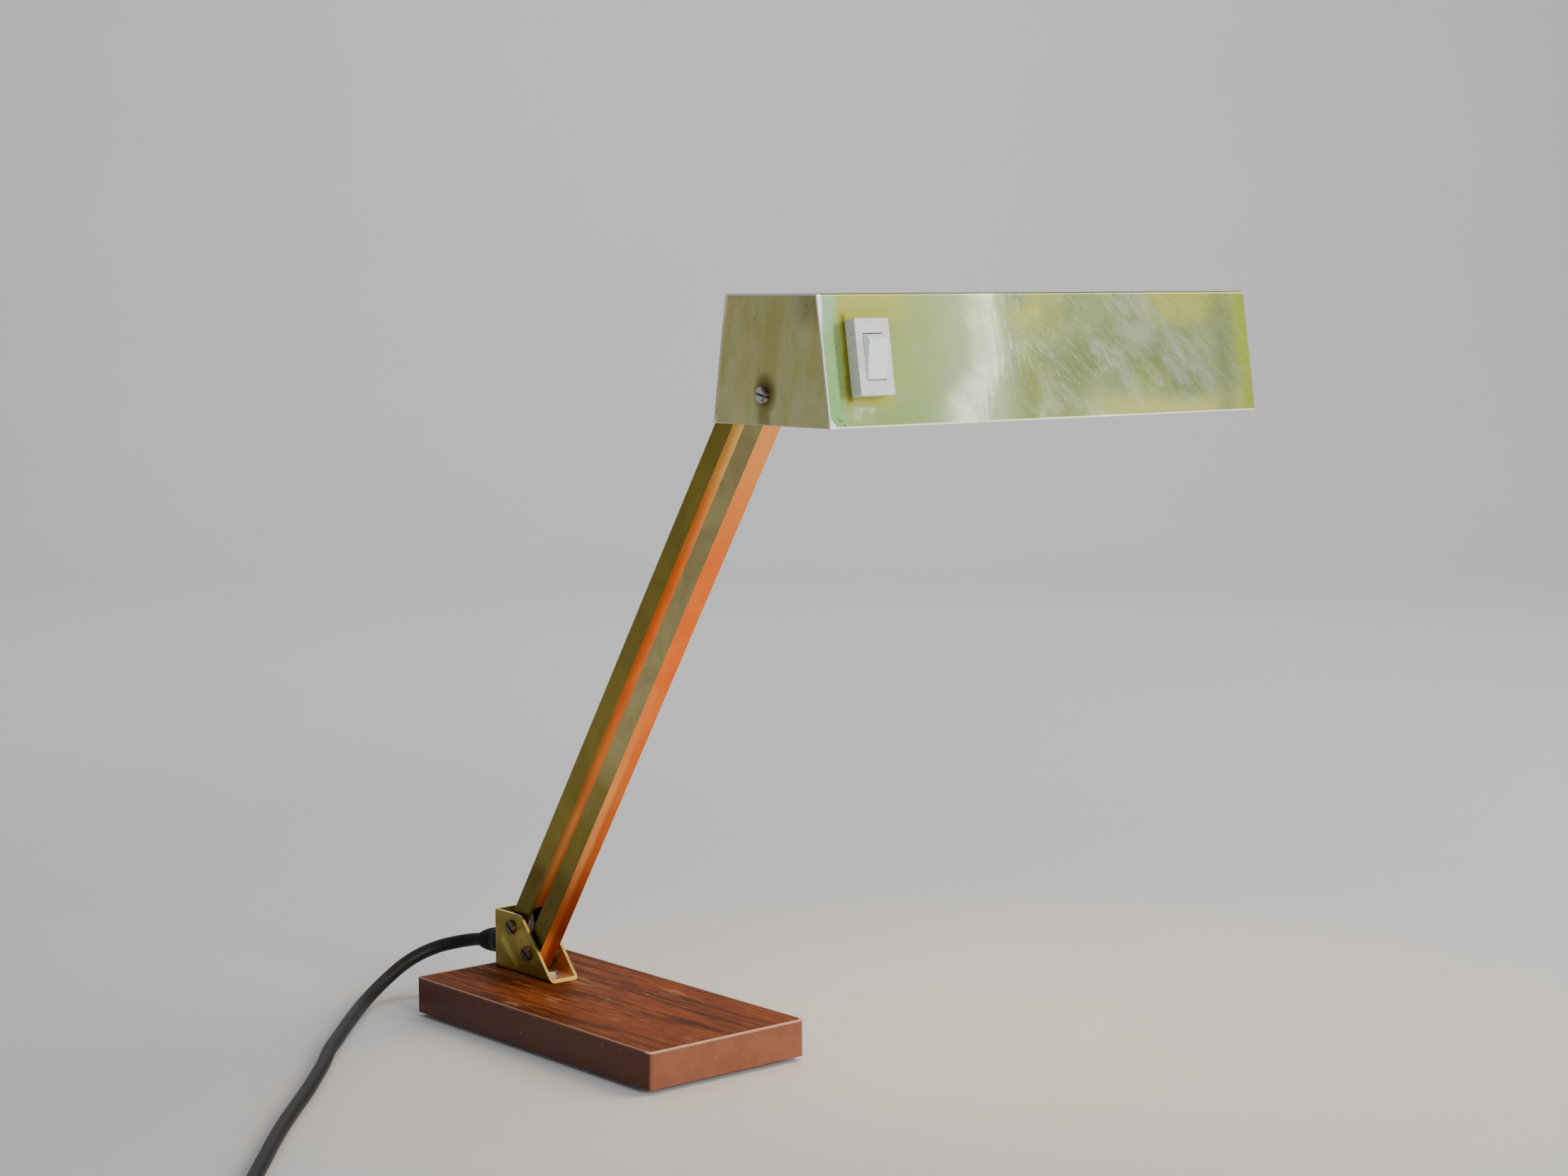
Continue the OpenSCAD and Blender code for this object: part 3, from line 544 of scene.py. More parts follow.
def shade_stain(p, face, colour):
    """A yellow stain round the switch, and a painted shadow close against its left side."""
    switch = middle("switch_bezel")
    half_width, half_height = 0.011, 0.0185
    from_sides = p.minus(p.math("ABSOLUTE", p.minus(face.y, switch.y)), half_width)
    from_ends = p.minus(p.math("ABSOLUTE", p.minus(face.z, switch.z)), half_height)
    away = p.plus(p.most(from_sides, from_ends), p.times(face.ragged, 0.6))
    around = p.times(p.ease(away, 0.0088, 0.0015), face.front)
    colour = p.over(colour, around, (0.41, 0.40, 0.065), 0.9)
    # Painted shadow of the switch, close against its left side.
    on_left = p.times(p.ease(face.y, switch.y - 0.009, switch.y - 0.012), face.front)
    switch_shadow = p.times(p.ease(away, 0.0048, 0.0010), on_left)
    return p.over(colour, switch_shadow, (0.13, 0.13, 0.010), 0.85)


def shade_highlight_band(p, face):
    """1 in the painted highlight band, a bright reflection painted into the brass: cloudy on its left, torn
    into strands on its right.
    """
    spread = p.times(p.ease(face.up, 0.034, 0.004), 0.022)
    lean = p.times(p.ease(face.up, 0.030, 0.004), 0.014)
    cloudy = p.plus(p.plus(face.along, spread), p.plus(face.drift, face.ragged))
    torn = p.plus(p.plus(face.along, lean), p.sway(face.highlight_strands, 0.034))
    highlight = p.times(p.ease(cloudy, 0.0930, 0.1150), p.ease(torn, 0.1260, 0.1110), face.front)
    return p.times(highlight, p.lerp(p.ease(face.small, 0.3, 0.7), 0.60, 1.0))


def shade_marks(p, face, lines, colour):
    """Painted highlight strands at the highlight band's torn edge, scratches, a painted reflection of the
    switch's lower edge below it, a spot and ticks.
    """
    along, up = face.along, face.up
    # Painted highlight: bright strands along the highlight band's torn edge.
    highlight_strands = p.times(p.ease(face.highlight_strands, 0.56, 0.66), p.between(along, 0.116, 0.134, 0.005))
    colour = p.over(colour, highlight_strands, (0.85, 0.86, 0.68), 0.35)
    colour = p.over(colour, lines, (0.66, 0.70, 0.52), 0.30)
    # Painted reflection: a pale patch below the switch, the switch's lower edge seen in the brass.
    daub = p.times(p.between(along, 0.018, 0.036, 0.004), p.between(up, 0.004, 0.009, 0.002), face.front)
    colour = p.over(colour, p.times(daub, p.ease(face.small, 0.42, 0.60)), (0.72, 0.77, 0.56))
    spot = p.times(p.between(along, 0.260, 0.267, 0.005), p.between(up, 0.043, 0.049, 0.004))
    colour = p.over(colour, spot, (0.28, 0.24, 0.06), 0.6)
    for place, angle, length in SHADE_TICKS:
        tick = p.times(p.dash(along, up, place, angle, length, TICK_WIDTH), face.front)
        colour = p.over(colour, tick, (0.06, 0.07, 0.03), 0.85)
    return colour


def shade_edges(p, face, colour):
    """Bare cut edges along the left end and the foot, wider at the corners, and painted shade on the top
    face.
    """
    along, up = face.along, face.up
    rub_top, rub_foot = p.ease(up, 0.043, 0.060), p.ease(up, 0.0060, 0.0)
    rub = p.plus(p.times(rub_top, 0.0014), p.times(rub_foot, 0.0034))
    cut_left = p.ease(p.minus(along, rub), 0.0015, 0.0009)
    cut_low = p.ease(up, 0.0010, 0.0006)
    past_corner = p.ease(along, 0.02, 0.03)
    clean = p.mix(past_corner, (1.0, 1.0, 0.93), (1.0, 0.94, 0.64))
    bare = p.mix(p.most(rub_top, rub_foot, past_corner), (0.74, 0.70, 0.58), clean)
    colour = p.over(colour, p.most(cut_left, cut_low), bare)
    # Painted shade: the top face darker and browner.
    return p.over(colour, p.ease(p.facing((0, 0, 1)), 0.7, 0.95), (0.26, 0.22, 0.08), 0.8)


def shade_brass():
    """The shade's tarnished brass, with its stains, its painted highlight band, its marks and its bare
    edges.
    """
    p = Paint("brass_shade")
    face = ShadeFace(p)
    colour = shade_ground(p, face)
    for layer in (shade_patches, shade_margin, shade_stain):
        colour = layer(p, face, colour)
    # The painted highlight band, a bright reflection painted into the brass, which also lowers its metal and
    # sets its roughness.
    highlight = shade_highlight_band(p, face)
    lines = p.times(scratches(p, (48, 0, 0)), p.lerp(face.right, 0.2, p.lerp(face.rubbed, 0.55, 1.0)))
    colour = shade_marks(p, face, lines, p.over(colour, highlight, HIGHLIGHT_TONE))
    p.to("Base Color", shade_edges(p, face, colour))
    p.to("Metallic", p.lerp(highlight, 0.9, 0.45))
    rough = p.lerp(highlight, p.lerp(face.rubbed, p.lerp(face.clouds, 0.32, 0.46), 0.32), 0.36)
    p.to("Roughness", p.lerp(lines, rough, 0.26))
    height = p.plus(p.times(face.small, 0.3), p.times(lines, -0.5))
    p.bump(p.plus(height, p.times(face.clouds, 1.2)), 0.30, 0.00005)
    return p


def plate_marks(p, x, z, clouds):
    """Brown marks on the left end plate: a stain and a run at its screw, a dark corner and three dabs."""
    dx = p.minus(x, PIVOT.x + 0.0011)
    dz = p.minus(z, PIVOT.z + 0.0008)
    tall = p.times(dz, 0.80)
    away = p.math("SQRT", p.plus(p.times(dx, dx), p.times(tall, tall)))
    away = p.plus(away, p.sway(clouds, 0.003))
    stain = p.lerp(p.ease(away, 0.0068, 0.0036), p.times(p.ease(away, 0.0098, 0.0062), 0.60), 0.92)
    run = p.times(p.between(dx, -0.0055, 0.0035, 0.002), p.ease(dz, 0.0, -0.004))
    top = HEAD_HIGH.z
    corner = p.times(p.ease(x, PIVOT.x + 0.014, PIVOT.x + 0.034), p.ease(z, top - 0.022, top - 0.008))
    daub = p.dash(x, z, (PIVOT.x + 0.0325, top - 0.0062), 15, 0.003, 0.0045)
    foot = p.dash(x, z, (HEAD_LOW.x + 0.0012, HEAD_LOW.z + 0.0060), 82, 0.003, 0.0030)
    tick = p.dash(x, z, (PIVOT.x - 0.0063, top - 0.0125), 110, 0.0020, 0.0008)
    weaker = [p.times(mark, amount) for mark, amount in
              ((run, 0.5), (corner, 0.40), (daub, 0.72), (foot, 0.5), (tick, 0.6))]
    return p.most(stain, *weaker)


def plate_brass():
    """The end plates' duller brass, streaked and yellowed, with the marks on the left one."""
    p = Paint("brass_plate", Metallic=0.88)
    x, y, z = p.xyz()
    clouds = p.noise(24, detail=5, distort=0.8, shift=(1, 4, 7))
    streaks = p.noise(1, detail=3, scale=(85, 85, 24), shift=(2, 2, 2), distort=0.3)
    yellowed = p.noise(1, detail=3, scale=(90, 90, 34), shift=(7, 1, 5), distort=0.3)
    specks = p.noise(260, detail=2, shift=(8, 8, 8))
    colour = p.mix(p.ease(clouds, 0.35, 0.65), (0.74, 0.68, 0.33), (0.58, 0.52, 0.20))
    colour = p.over(colour, p.ease(streaks, 0.40, 0.68), (0.66, 0.71, 0.40), 0.75)
    colour = p.over(colour, p.ease(yellowed, 0.45, 0.70), (0.58, 0.55, 0.15), 0.55)
    colour = p.over(colour, p.ease(specks, 0.70, 0.78), (0.22, 0.17, 0.06), 0.4)
    on_left_plate = p.ease(y, ARM_Y + 0.010, ARM_Y)
    colour = p.over(colour, p.times(plate_marks(p, x, z, clouds), on_left_plate), (0.15, 0.11, 0.025))
    rim = p.times(p.ease(z, HEAD_LOW.z + 0.0007, HEAD_LOW.z + 0.0003), p.ease(clouds, 0.40, 0.55))
    p.to("Base Color", p.over(colour, rim, (0.90, 0.88, 0.66), 0.7))
    p.to("Roughness", p.lerp(clouds, 0.42, 0.60))
    p.bump(p.plus(clouds, p.times(specks, 0.3)), 0.3, 0.00006)
    return p


def tube_side(p, wander, soft, upper_tone):
    """A tube's sides: dull olive, darker at the foot."""
    side = p.mix(p.ease(wander, 0.070, 0.110), (0.115, 0.085, 0.008), (0.30, 0.235, 0.035))
    side = p.over(side, p.ease(wander, 0.115, 0.165), upper_tone)
    return p.over(side, soft, (0.12, 0.10, 0.02), 0.30)


def tube_lamp_lit_front(p, y, wander, soft, lit_top_tone):
    """A tube's front, painted as lit by the lamp: orange, deeper at the foot, with a painted stripe of
    reflected light low on its left.
    """
    low = p.mix(soft, (0.72, 0.165, 0.012), (0.55, 0.120, 0.008))
    mid = p.mix(soft, (1.0, 0.230, 0.024), (0.92, 0.180, 0.015))
    tone = p.mix(p.ease(wander, 0.080, 0.190), low, mid)
    tone = p.over(tone, p.ease(wander, HEAD_LOW.z - 0.085, HEAD_LOW.z + 0.015), lit_top_tone)
    # Painted reflected light: a lighter stripe low on the front's left.
    reflected_light_stripe = p.times(p.ease(y, ARM_Y + 0.0012, ARM_Y - 0.0026), p.ease(wander, 0.230, 0.080))
    return p.over(tone, reflected_light_stripe, (1.0, 0.46, 0.12))


def tube_brass(name, side_upper_tone, front_lit_top_tone):
    """A tube's brass: dull olive on the sides, and on the front a painted lamp light, warm and bright."""
    p = Paint(name, Metallic=1.0)
    y, z = p.xyz()[1:]
    blotches = p.noise(30, detail=5, distort=0.7, shift=(6, 2, 1))
    grain = p.noise(1, detail=3, scale=(700, 700, 40), turn=(0, -ARM_LEAN, 0))
    soft = p.ease(blotches, 0.35, 0.65)
    wander = p.plus(z, p.sway(blotches, 0.08))
    # The front faces take the painted lamp light, the sides the plain olive.
    lit_front = p.ease(p.facing(tuple(ARM_FRONT)), 0.35, 0.85)
    colour = p.mix(lit_front, tube_side(p, wander, soft, side_upper_tone),
                   tube_lamp_lit_front(p, y, wander, soft, front_lit_top_tone))
    p.to("Base Color", p.over(colour, p.ease(grain, 0.5, 0.8), (0.80, 0.60, 0.24), 0.14))
    p.to("Roughness", p.lerp(blotches, 0.30, 0.46))
    p.bump(grain, 0.25, 0.00004)
    return p


def bracket_brass():
    """The folded bracket's brass, darkened, with a rubbed stripe, painted warm lamp light on the inside and
    upward faces painted paler where light falls.
    """
    p = Paint("brass_bracket", Metallic=0.85)
    x, y, z = p.xyz()
    blotches = p.noise(55, detail=5, distort=0.8, shift=(2, 6, 3))
    fine = p.noise(1, detail=3, scale=(300, 300, 1500))
    colour = p.mix(p.ease(blotches, 0.35, 0.62), (0.37, 0.29, 0.052), (0.23, 0.17, 0.022))
    colour = p.over(colour, p.ease(fine, 0.55, 0.8), (0.60, 0.50, 0.16), 0.22)
    rubbed = p.dash(x, z, (BRACKET_LOW.x + 0.015, BRACKET_LOW.z + 0.011), -43, 0.021, 0.0042)
    colour = p.over(colour, rubbed, (0.52, 0.50, 0.08), 0.6)
    # Painted lamp light: the inner face of the right cheek, warm orange.
    lamp_lit_inside = p.times(p.ease(p.facing((0, -1, 0)), 0.7, 0.9), p.ease(y, ARM_Y, ARM_Y + 0.002))
    colour = p.over(colour, lamp_lit_inside, (0.80, 0.38, 0.07), 0.8)
    # Painted light: the upward faces, the floor among them, paler where light falls on them.
    lit_upper_faces = p.ease(p.facing((0, 0, 1)), 0.7, 0.9)
    p.to("Base Color", p.over(colour, lit_upper_faces, (0.95, 0.72, 0.48), 0.8))
    p.to("Roughness", p.lerp(blotches, 0.30, 0.45))
    p.bump(fine, 0.2, 0.00004)
    return p


def rubbed_brass(name, tone, rough):
    """Clean brass, as on rubbed edges and inner fittings."""
    p = Paint(name, Metallic=1.0)
    marks = p.noise(220, detail=4)
    p.to("Base Color", p.mix(p.ease(marks, 0.4, 0.65), tone, scaled(tone, 0.8)))
    p.to("Roughness", p.lerp(marks, rough, rough + 0.16))
    p.bump(marks, 0.15, 0.00004)
    return p


def veneer():
    """Dark reddish brown wood with its grain along X, open pores and pale scuffs."""
    p = Paint("veneer", Specular_IOR_Level=0.03)
    bands = p.noise(1, detail=6, rough=0.62, distort=0.5, scale=(8, 120, 20))
    fine = p.noise(1, detail=4, rough=0.65, scale=(26, 520, 60), shift=(4, 1, 0))
    pores = p.noise(1, detail=2, rough=0.5, scale=(60, 1500, 60), shift=(1, 7, 0))
    scuffs = p.noise(1, detail=5, rough=0.65, scale=(24, 60, 30), shift=(9, 3, 0), distort=0.5)
    colour = p.mix(p.ease(bands, 0.34, 0.62), (0.052, 0.012, 0.003), (0.200, 0.050, 0.010))
    colour = p.over(colour, p.ease(fine, 0.47, 0.64), (0.34, 0.098, 0.022), 0.65)
    colour = p.over(colour, p.ease(pores, 0.58, 0.66), (0.026, 0.009, 0.005), 0.75)
    worn = p.times(p.ease(scuffs, 0.55, 0.70), p.lerp(p.ease(fine, 0.40, 0.62), 0.12, 0.48))
    p.to("Base Color", p.over(colour, worn, (0.52, 0.31, 0.16)))
    p.to("Roughness", p.lerp(worn, p.lerp(fine, 0.40, 0.52), 0.65))
    p.bump(p.minus(p.times(fine, 0.4), p.ease(pores, 0.56, 0.66)), 0.3, 0.00008)
    return p


def lacquer():
    """Satin brown paint on steel, with painted shade on the left side, worn pale along the top lip, and a
    painted highlight that keeps the pale lip mostly to the front edge.
    """
    p = Paint("lacquer", Specular_IOR_Level=0.3)
    x, _, z = p.xyz()
    mottle = p.noise(60, detail=5)
    peel = p.noise(900, detail=2)
    dust = p.noise(420, detail=3, shift=(3, 3, 3))
    colour = p.mix(p.ease(mottle, 0.38, 0.64), (0.235, 0.078, 0.037), (0.272, 0.096, 0.048))
    # Painted shade: the left side much darker.
    colour = p.over(colour, p.ease(p.facing((0, -1, 0)), 0.6, 0.9), (0.040, 0.006, 0.002), 0.78)
    colour = p.over(colour, p.ease(dust, 0.64, 0.74), (0.47, 0.27, 0.19), 0.25)
    # Partly wear and partly painted highlight: the pale lip, kept mostly to the front edge.
    lip_wear_and_highlight = p.times(p.ease(z, BASE_HIGH.z - 0.0012, BASE_HIGH.z - 0.0003), p.ease(mottle, 0.25, 0.45))
    worn = p.times(lip_wear_and_highlight, p.lerp(p.ease(x, BASE_HIGH.x - 0.005, BASE_HIGH.x - 0.002), 0.15, 1.0))
    p.to("Base Color", p.over(colour, worn, (0.80, 0.48, 0.33), 0.7))
    p.to("Roughness", p.lerp(mottle, 0.34, 0.48))
    p.bump(p.plus(p.times(peel, 0.5), mottle), 0.18, 0.00008)
    return p


def felt():
    """Pressed black felt with a little lint."""
    p = Paint("felt", Sheen_Weight=0.4, Sheen_Roughness=0.5)
    fibres = p.noise(1400, detail=4, rough=0.8, distort=1.5)
    lint = p.noise(130, detail=3)
    colour = p.mix(fibres, (0.008, 0.008, 0.008), (0.035, 0.033, 0.032))
    p.to("Base Color", p.over(colour, p.ease(lint, 0.62, 0.8), (0.09, 0.085, 0.08)))
    p.to("Roughness", p.lerp(fibres, 0.85, 1.0))
    p.bump(fibres, 0.8, 0.0004)
    return p


def switch_plastic(name, tone):
    """Off-white moulded plastic with a little grime."""
    p = Paint(name, IOR=1.5, Subsurface_Weight=0.06, Subsurface_Scale=0.002)
    grime = p.noise(170, detail=5, distort=0.4)
    grain = p.noise(2400, detail=2)
    specks = p.noise(520, detail=1, shift=(7, 7, 7))
    colour = p.mix(p.ease(grime, 0.45, 0.8), tone, scaled(tone, 0.83))
    p.to("Base Color", p.over(colour, p.ease(specks, 0.74, 0.80), (0.16, 0.15, 0.13), 0.7))
    p.to("Roughness", p.lerp(grime, 0.32, 0.50))
    p.bump(grain, 0.12, 0.00005)
    return p


def steel_noises(p):
    """Fine turning marks, and spots where rust starts."""
    return p.noise(700, detail=3), p.noise(330, detail=5, distort=1.0, shift=(1, 9, 4))


def steel(name, tone, rough):
    """Plated steel with fine turning marks."""
    p = Paint(name, Metallic=1.0)
    marks, spots = steel_noises(p)
    p.to("Base Color", p.mix(marks, tone, scaled(tone, 0.72)))
    p.to("Roughness", p.lerp(marks, rough, rough + 0.14))
    p.bump(p.plus(marks, spots), 0.25, 0.00005)
    return p


def rusty_steel(name, tone, rough, rust=0.0, slot_at=None):
    """Steel with spots of rust, or a screw with painted shade in its slot, a painted shadow and one rusty
    dab.
    """
    p = Paint(name)
    marks, spots = steel_noises(p)
    clean = p.mix(marks, tone, scaled(tone, 0.72))
    if slot_at:
        x, _, z = p.xyz()
        # Painted shade in the screw's slot, and a painted shadow at its upper right.
        slot_shade = p.dash(x, z, (slot_at.x, slot_at.z), -12, 0.012, 0.0011)
        shaded = p.dash(x, z, (slot_at.x + 0.0024, slot_at.z + 0.0022), -45, 0.0046, 0.0020)
        clean = p.over(clean, p.most(slot_shade, p.times(shaded, 0.8)), (0.03, 0.025, 0.02))
        rusty = p.dash(x, z, (slot_at.x + 0.0018, slot_at.z - 0.0024), 35, 0.0030, 0.0016)
    else:
        rusty = p.ease(spots, 0.64 - 0.2 * rust, 0.72 - 0.2 * rust)
    p.to("Base Color", p.over(clean, rusty, (0.30, 0.085, 0.022)))
    p.to("Metallic", p.lerp(rusty, 1.0, 0.0))
    p.to("Roughness", p.lerp(rusty, rough, 0.85))
    p.bump(p.plus(marks, spots), 0.25, 0.00005)
    return p


def plastic(name, dark, light, rough=0.45, grain=1200, depth=0.00006, shine=0.5):
    """A moulded or extruded plastic or rubber of two near tones."""
    p = Paint(name, Specular_IOR_Level=shine)
    mottle = p.noise(80, detail=4)
    fine = p.noise(grain, detail=3)
    blend = p.plus(p.times(mottle, 0.6), p.times(fine, 0.4))
    p.to("Base Color", p.mix(p.ease(blend, 0.35, 0.65), dark, light))
    p.to("Roughness", p.lerp(mottle, rough, rough + 0.12))
    p.bump(fine, 0.25, depth)
    return p


def white_paint():
    """Stove-enamelled white, a little yellowed by heat near the bulb."""
    p = Paint("reflector_paint")
    y = p.xyz()[1]
    mottle = p.noise(45, detail=4)
    hot = p.times(p.between(y, HEAD_LOW.y + 0.09, HEAD_LOW.y + 0.26, 0.03), mottle)
    p.to("Base Color", p.mix(hot, (0.86, 0.85, 0.80), (0.80, 0.72, 0.55)))
    p.to("Roughness", p.lerp(mottle, 0.40, 0.55))
    p.bump(p.noise(700, detail=2), 0.15, 0.00006)
    return p


def opal_glass():
    """Lit opal glass, brighter along the middle of the tube than at its ends."""
    p = Paint("opal_glass", Emission_Strength=22.0, IOR=1.45)
    y = p.xyz()[1]
    low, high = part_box("bulb_glass")
    haze = p.noise(70, detail=3)
    lit = p.between(y, low.y + 0.02, high.y - 0.02, 0.015)
    warm = p.mix(haze, (1.0, 0.62, 0.28), (1.0, 0.70, 0.36))
    p.to("Base Color", p.mix(haze, (0.93, 0.88, 0.78), (0.88, 0.82, 0.70)))
    p.to("Emission Color", p.mix(lit, (0.50, 0.22, 0.07), warm))
    p.to("Roughness", p.lerp(haze, 0.22, 0.34))
    return p


BRASS_SHADE = shade_brass()
BRASS_PLATE = plate_brass()
# The last tone of each tube is the painted lamp light on the top of its front.
BRASS_REAR = tube_brass("brass_rear_tube", (0.34, 0.265, 0.045), (1.0, 0.64, 0.18))
BRASS_FRONT = tube_brass("brass_front_tube", (0.66, 0.56, 0.24), (1.0, 0.42, 0.11))
BRASS_BRACKET = bracket_brass()
BRASS_EDGE = rubbed_brass("brass_edge", (1.0, 0.88, 0.42), 0.24)
BRASS_INNER = rubbed_brass("brass_inner", (0.72, 0.56, 0.27), 0.30)
VENEER = veneer()
LACQUER = lacquer()
FELT = felt()
# The bezel's plastic is the rocker's off-white, painted darker as shade.
SHADED_BEZEL_PLASTIC = switch_plastic("switch_plastic", (0.74, 0.79, 0.77))
ROCKER = switch_plastic("rocker_plastic", (0.88, 0.97, 0.93))
STEEL = steel("zinc_steel", (0.62, 0.61, 0.58), 0.30)
STEEL_SCREW = rusty_steel("screw_steel", (0.86, 0.85, 0.82), 0.20, slot_at=PIVOT)
STEEL_DARK = rusty_steel("dark_steel", (0.12, 0.095, 0.08), 0.36, rust=0.35)
IRON = rusty_steel("cast_iron", (0.10, 0.10, 0.10), 0.55, rust=0.25)
BLACK = plastic("black_plastic", (0.012, 0.012, 0.012), (0.028, 0.028, 0.028), 0.42)
RUBBER = plastic("black_rubber", (0.006, 0.006, 0.006), (0.016, 0.015, 0.015), 0.50, 900, shine=0.25)
CORD_PVC = plastic("cord_pvc", (0.004, 0.004, 0.004), (0.011, 0.010, 0.010), 0.42, 700, shine=0.25)
LEAD_PVC = plastic("lead_pvc", (0.66, 0.60, 0.48), (0.80, 0.76, 0.66), 0.40)
NYLON = plastic("nylon", (0.60, 0.56, 0.45), (0.72, 0.69, 0.60), 0.45)
FIBRE = plastic("fibre", (0.22, 0.11, 0.05), (0.34, 0.19, 0.10), 0.70, 600)
BAKELITE = plastic("bakelite", (0.020, 0.011, 0.007), (0.045, 0.024, 0.014), 0.25, 300)
STRAP = plastic("strap", (0.02, 0.02, 0.022), (0.06, 0.06, 0.062), 0.80, 2600, 0.0002)
WHITE = white_paint()
OPAL = opal_glass()

# ---------------------------------------------------------------- pieces on the cord


def strain_relief():
    """A collar against the bracket and a ribbed sleeve that thins towards the lead."""
    axis = (Vector(ROUTE[2]) - Vector(ROUTE[0])).normalized()
    length, first_rib, rib_pitch, ribs = 0.0243, 0.0080, 0.0026, 6
    bore = CORD_D / 2 + 0.0001
    profile = [(0.0, bore), (0.0, 0.0079), (0.0005, 0.0082), (0.0052, 0.0082), (0.0064, 0.0080),
               (0.0072, 0.0072)]
    for k in range(ribs):
        along = first_rib + k * rib_pitch
        outer = 0.0071 - 0.0025 * (k / ribs) ** 2
        profile += [(along, outer - 0.0006), (along + 0.0003, outer), (along + 0.0015, outer - 0.0001),
                    (along + 0.0018, outer - 0.0008)]
    profile += [(length - 0.0006, 0.0043), (length, 0.0041), (length, bore), (0.0, bore)]
    piece = lathe("strain_sleeve", profile, EXIT, axis, segments=56)
    paint(piece, RUBBER)
    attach(piece, "base")
    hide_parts("strain_relief")
    return piece


def plug_profile():
    """The plug's outline: a ribbed grip, a flare with four rings, and a flat face."""
    bore = CORD_D / 2 - 0.0001
    profile = [(0.0, bore), (0.0, 0.0044), (0.0006, 0.0050)]
    for k in range(6):
        along, r = 0.002 + k * 0.0028, 0.0052 + 0.00018 * k
        groove = r - 0.0007
        profile += [(along, r), (along + 0.0002, groove), (along + 0.0011, groove), (along + 0.0013, r)]
    profile += [(0.0195, 0.0065), (0.0210, 0.0085), (0.0250, 0.0105), (0.0300, 0.0128), (0.0340, 0.0138)]
    for k in range(4):
        along = 0.0350 + k * 0.0026
        low, high = 0.0139, 0.0147
        profile += [(along, low), (along + 0.0004, high), (along + 0.0014, high), (along + 0.0018, low)]
    profile += [(0.0462, 0.0145), (0.0480, 0.0162), (0.0495, 0.0183), (0.0510, 0.0189), (0.0525, 0.0190),
                (0.0635, 0.0190), (0.0645, 0.0187), (0.0650, 0.0181), (0.0650, 0.0)]
    return profile


def box_pair(turn, start, end, half_width, out, half_depth):
    """A box on each side of the plug, between two places along it and so far out."""
    bm = bmesh.new()
    for side in (-1, 1):
        low_z, high_z = side * out - half_depth, side * out + half_depth
        box_mesh(bm, (start, -half_width, low_z), (end, half_width, high_z), turn)
    return bm


def plug():
    """A moulded round plug with two side grooves, and the earth clips in them."""
    tail = Vector(TAIL[-1]) * MM
    axis = Vector((math.cos(PLUG_TURN), math.sin(PLUG_TURN), 0))
    turn = Matrix.Translation(tail) @ Matrix.Rotation(PLUG_TURN, 4, "Z")
    piece = lathe("plug_body", plug_profile(), tail, axis, segments=72)
    grooves = box_pair(turn, start=0.0485, end=0.0700, half_width=0.0035, out=0.0165, half_depth=0.0030)
    cut(piece, grooves)
    paint(piece, RUBBER)
    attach(piece, "base")
    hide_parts("mains_plug")
    strips = box_pair(turn, start=0.0500, end=0.0646, half_width=0.0022, out=0.0150, half_depth=0.0004)
    clip = mesh_object("plug_earth_clips", strips)
    round_edges(clip)
    paint(clip, STEEL)
    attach(clip, "base")
    return [piece, clip, NODES["plug_pins"]]


def tie():
    """A woven strap round the coil's turns, a rounded rectangle in section."""
    angle = math.radians(TIE_AT)
    out = Vector((math.cos(angle), math.sin(angle), 0))
    along = Vector((-math.sin(angle), math.cos(angle), 0))
    ring_r, mid_z = 0.0363, 0.0086
    centre = COIL_AT * MM + out * ring_r + Vector((0, 0, mid_z))
    half_w, half_h, corner, thick, half_width = 0.0114, 0.0082, 0.0045, 0.0010, 0.0050
    outline = []
    for cx, cz, first in ((1, 1, 0), (-1, 1, 90), (-1, -1, 180), (1, -1, 270)):
        for k in range(9):
            a = math.radians(first + 90 * k / 8)
            outline.append((cx * (half_w - corner), cz * (half_h - corner), math.cos(a), math.sin(a)))
    bm = bmesh.new()
    loops = []
    for offset, depth in ((0, -1), (0, 1), (thick, 1), (thick, -1)):
        round_r = corner - thick + offset
        loops.append([bm.verts.new(centre + out * (x + round_r * c) + Vector((0, 0, z + round_r * s))
                                   + along * depth * half_width) for x, z, c, s in outline])
    for a, b in zip(loops, loops[1:] + loops[:1]):
        for k in range(len(outline)):
            n = (k + 1) % len(outline)
            bm.faces.new((a[k], a[n], b[n], b[k]))
    piece = mesh_object("coil_strap", bm, STRAP_ANGLE)
    round_edges(piece)
    paint(piece, STRAP)
    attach(piece, "base")
    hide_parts("cord_tie")
    return piece


relief_piece = strain_relief()
plug_pieces = plug()
tie_piece = tie()
paint(cord, CORD_PVC)
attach(cord, "base")
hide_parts("mains_cord", "cord_coil", "cord_tail")

# ---------------------------------------------------------------- inner leads

LEAD_R = 1.1 * MM
LEAD_ASIDE = 1.2 * MM               # from the arm's middle plane to each lead's middle line
SIDES = ((-1, "left"), (1, "right"))
LEAD_ROUNDNESS = 3
# A lead's line at either end of the rear tube, in millimetres: forward of its middle, and in from its pivot.
LEAD_PATH = [(5.1, -3), (4.9, 1), (3.4, 4.6), (0.6, 8.2), (-2.2, 12), (-3.4, 17), (-3.4, 26), (-3.4, 40)]


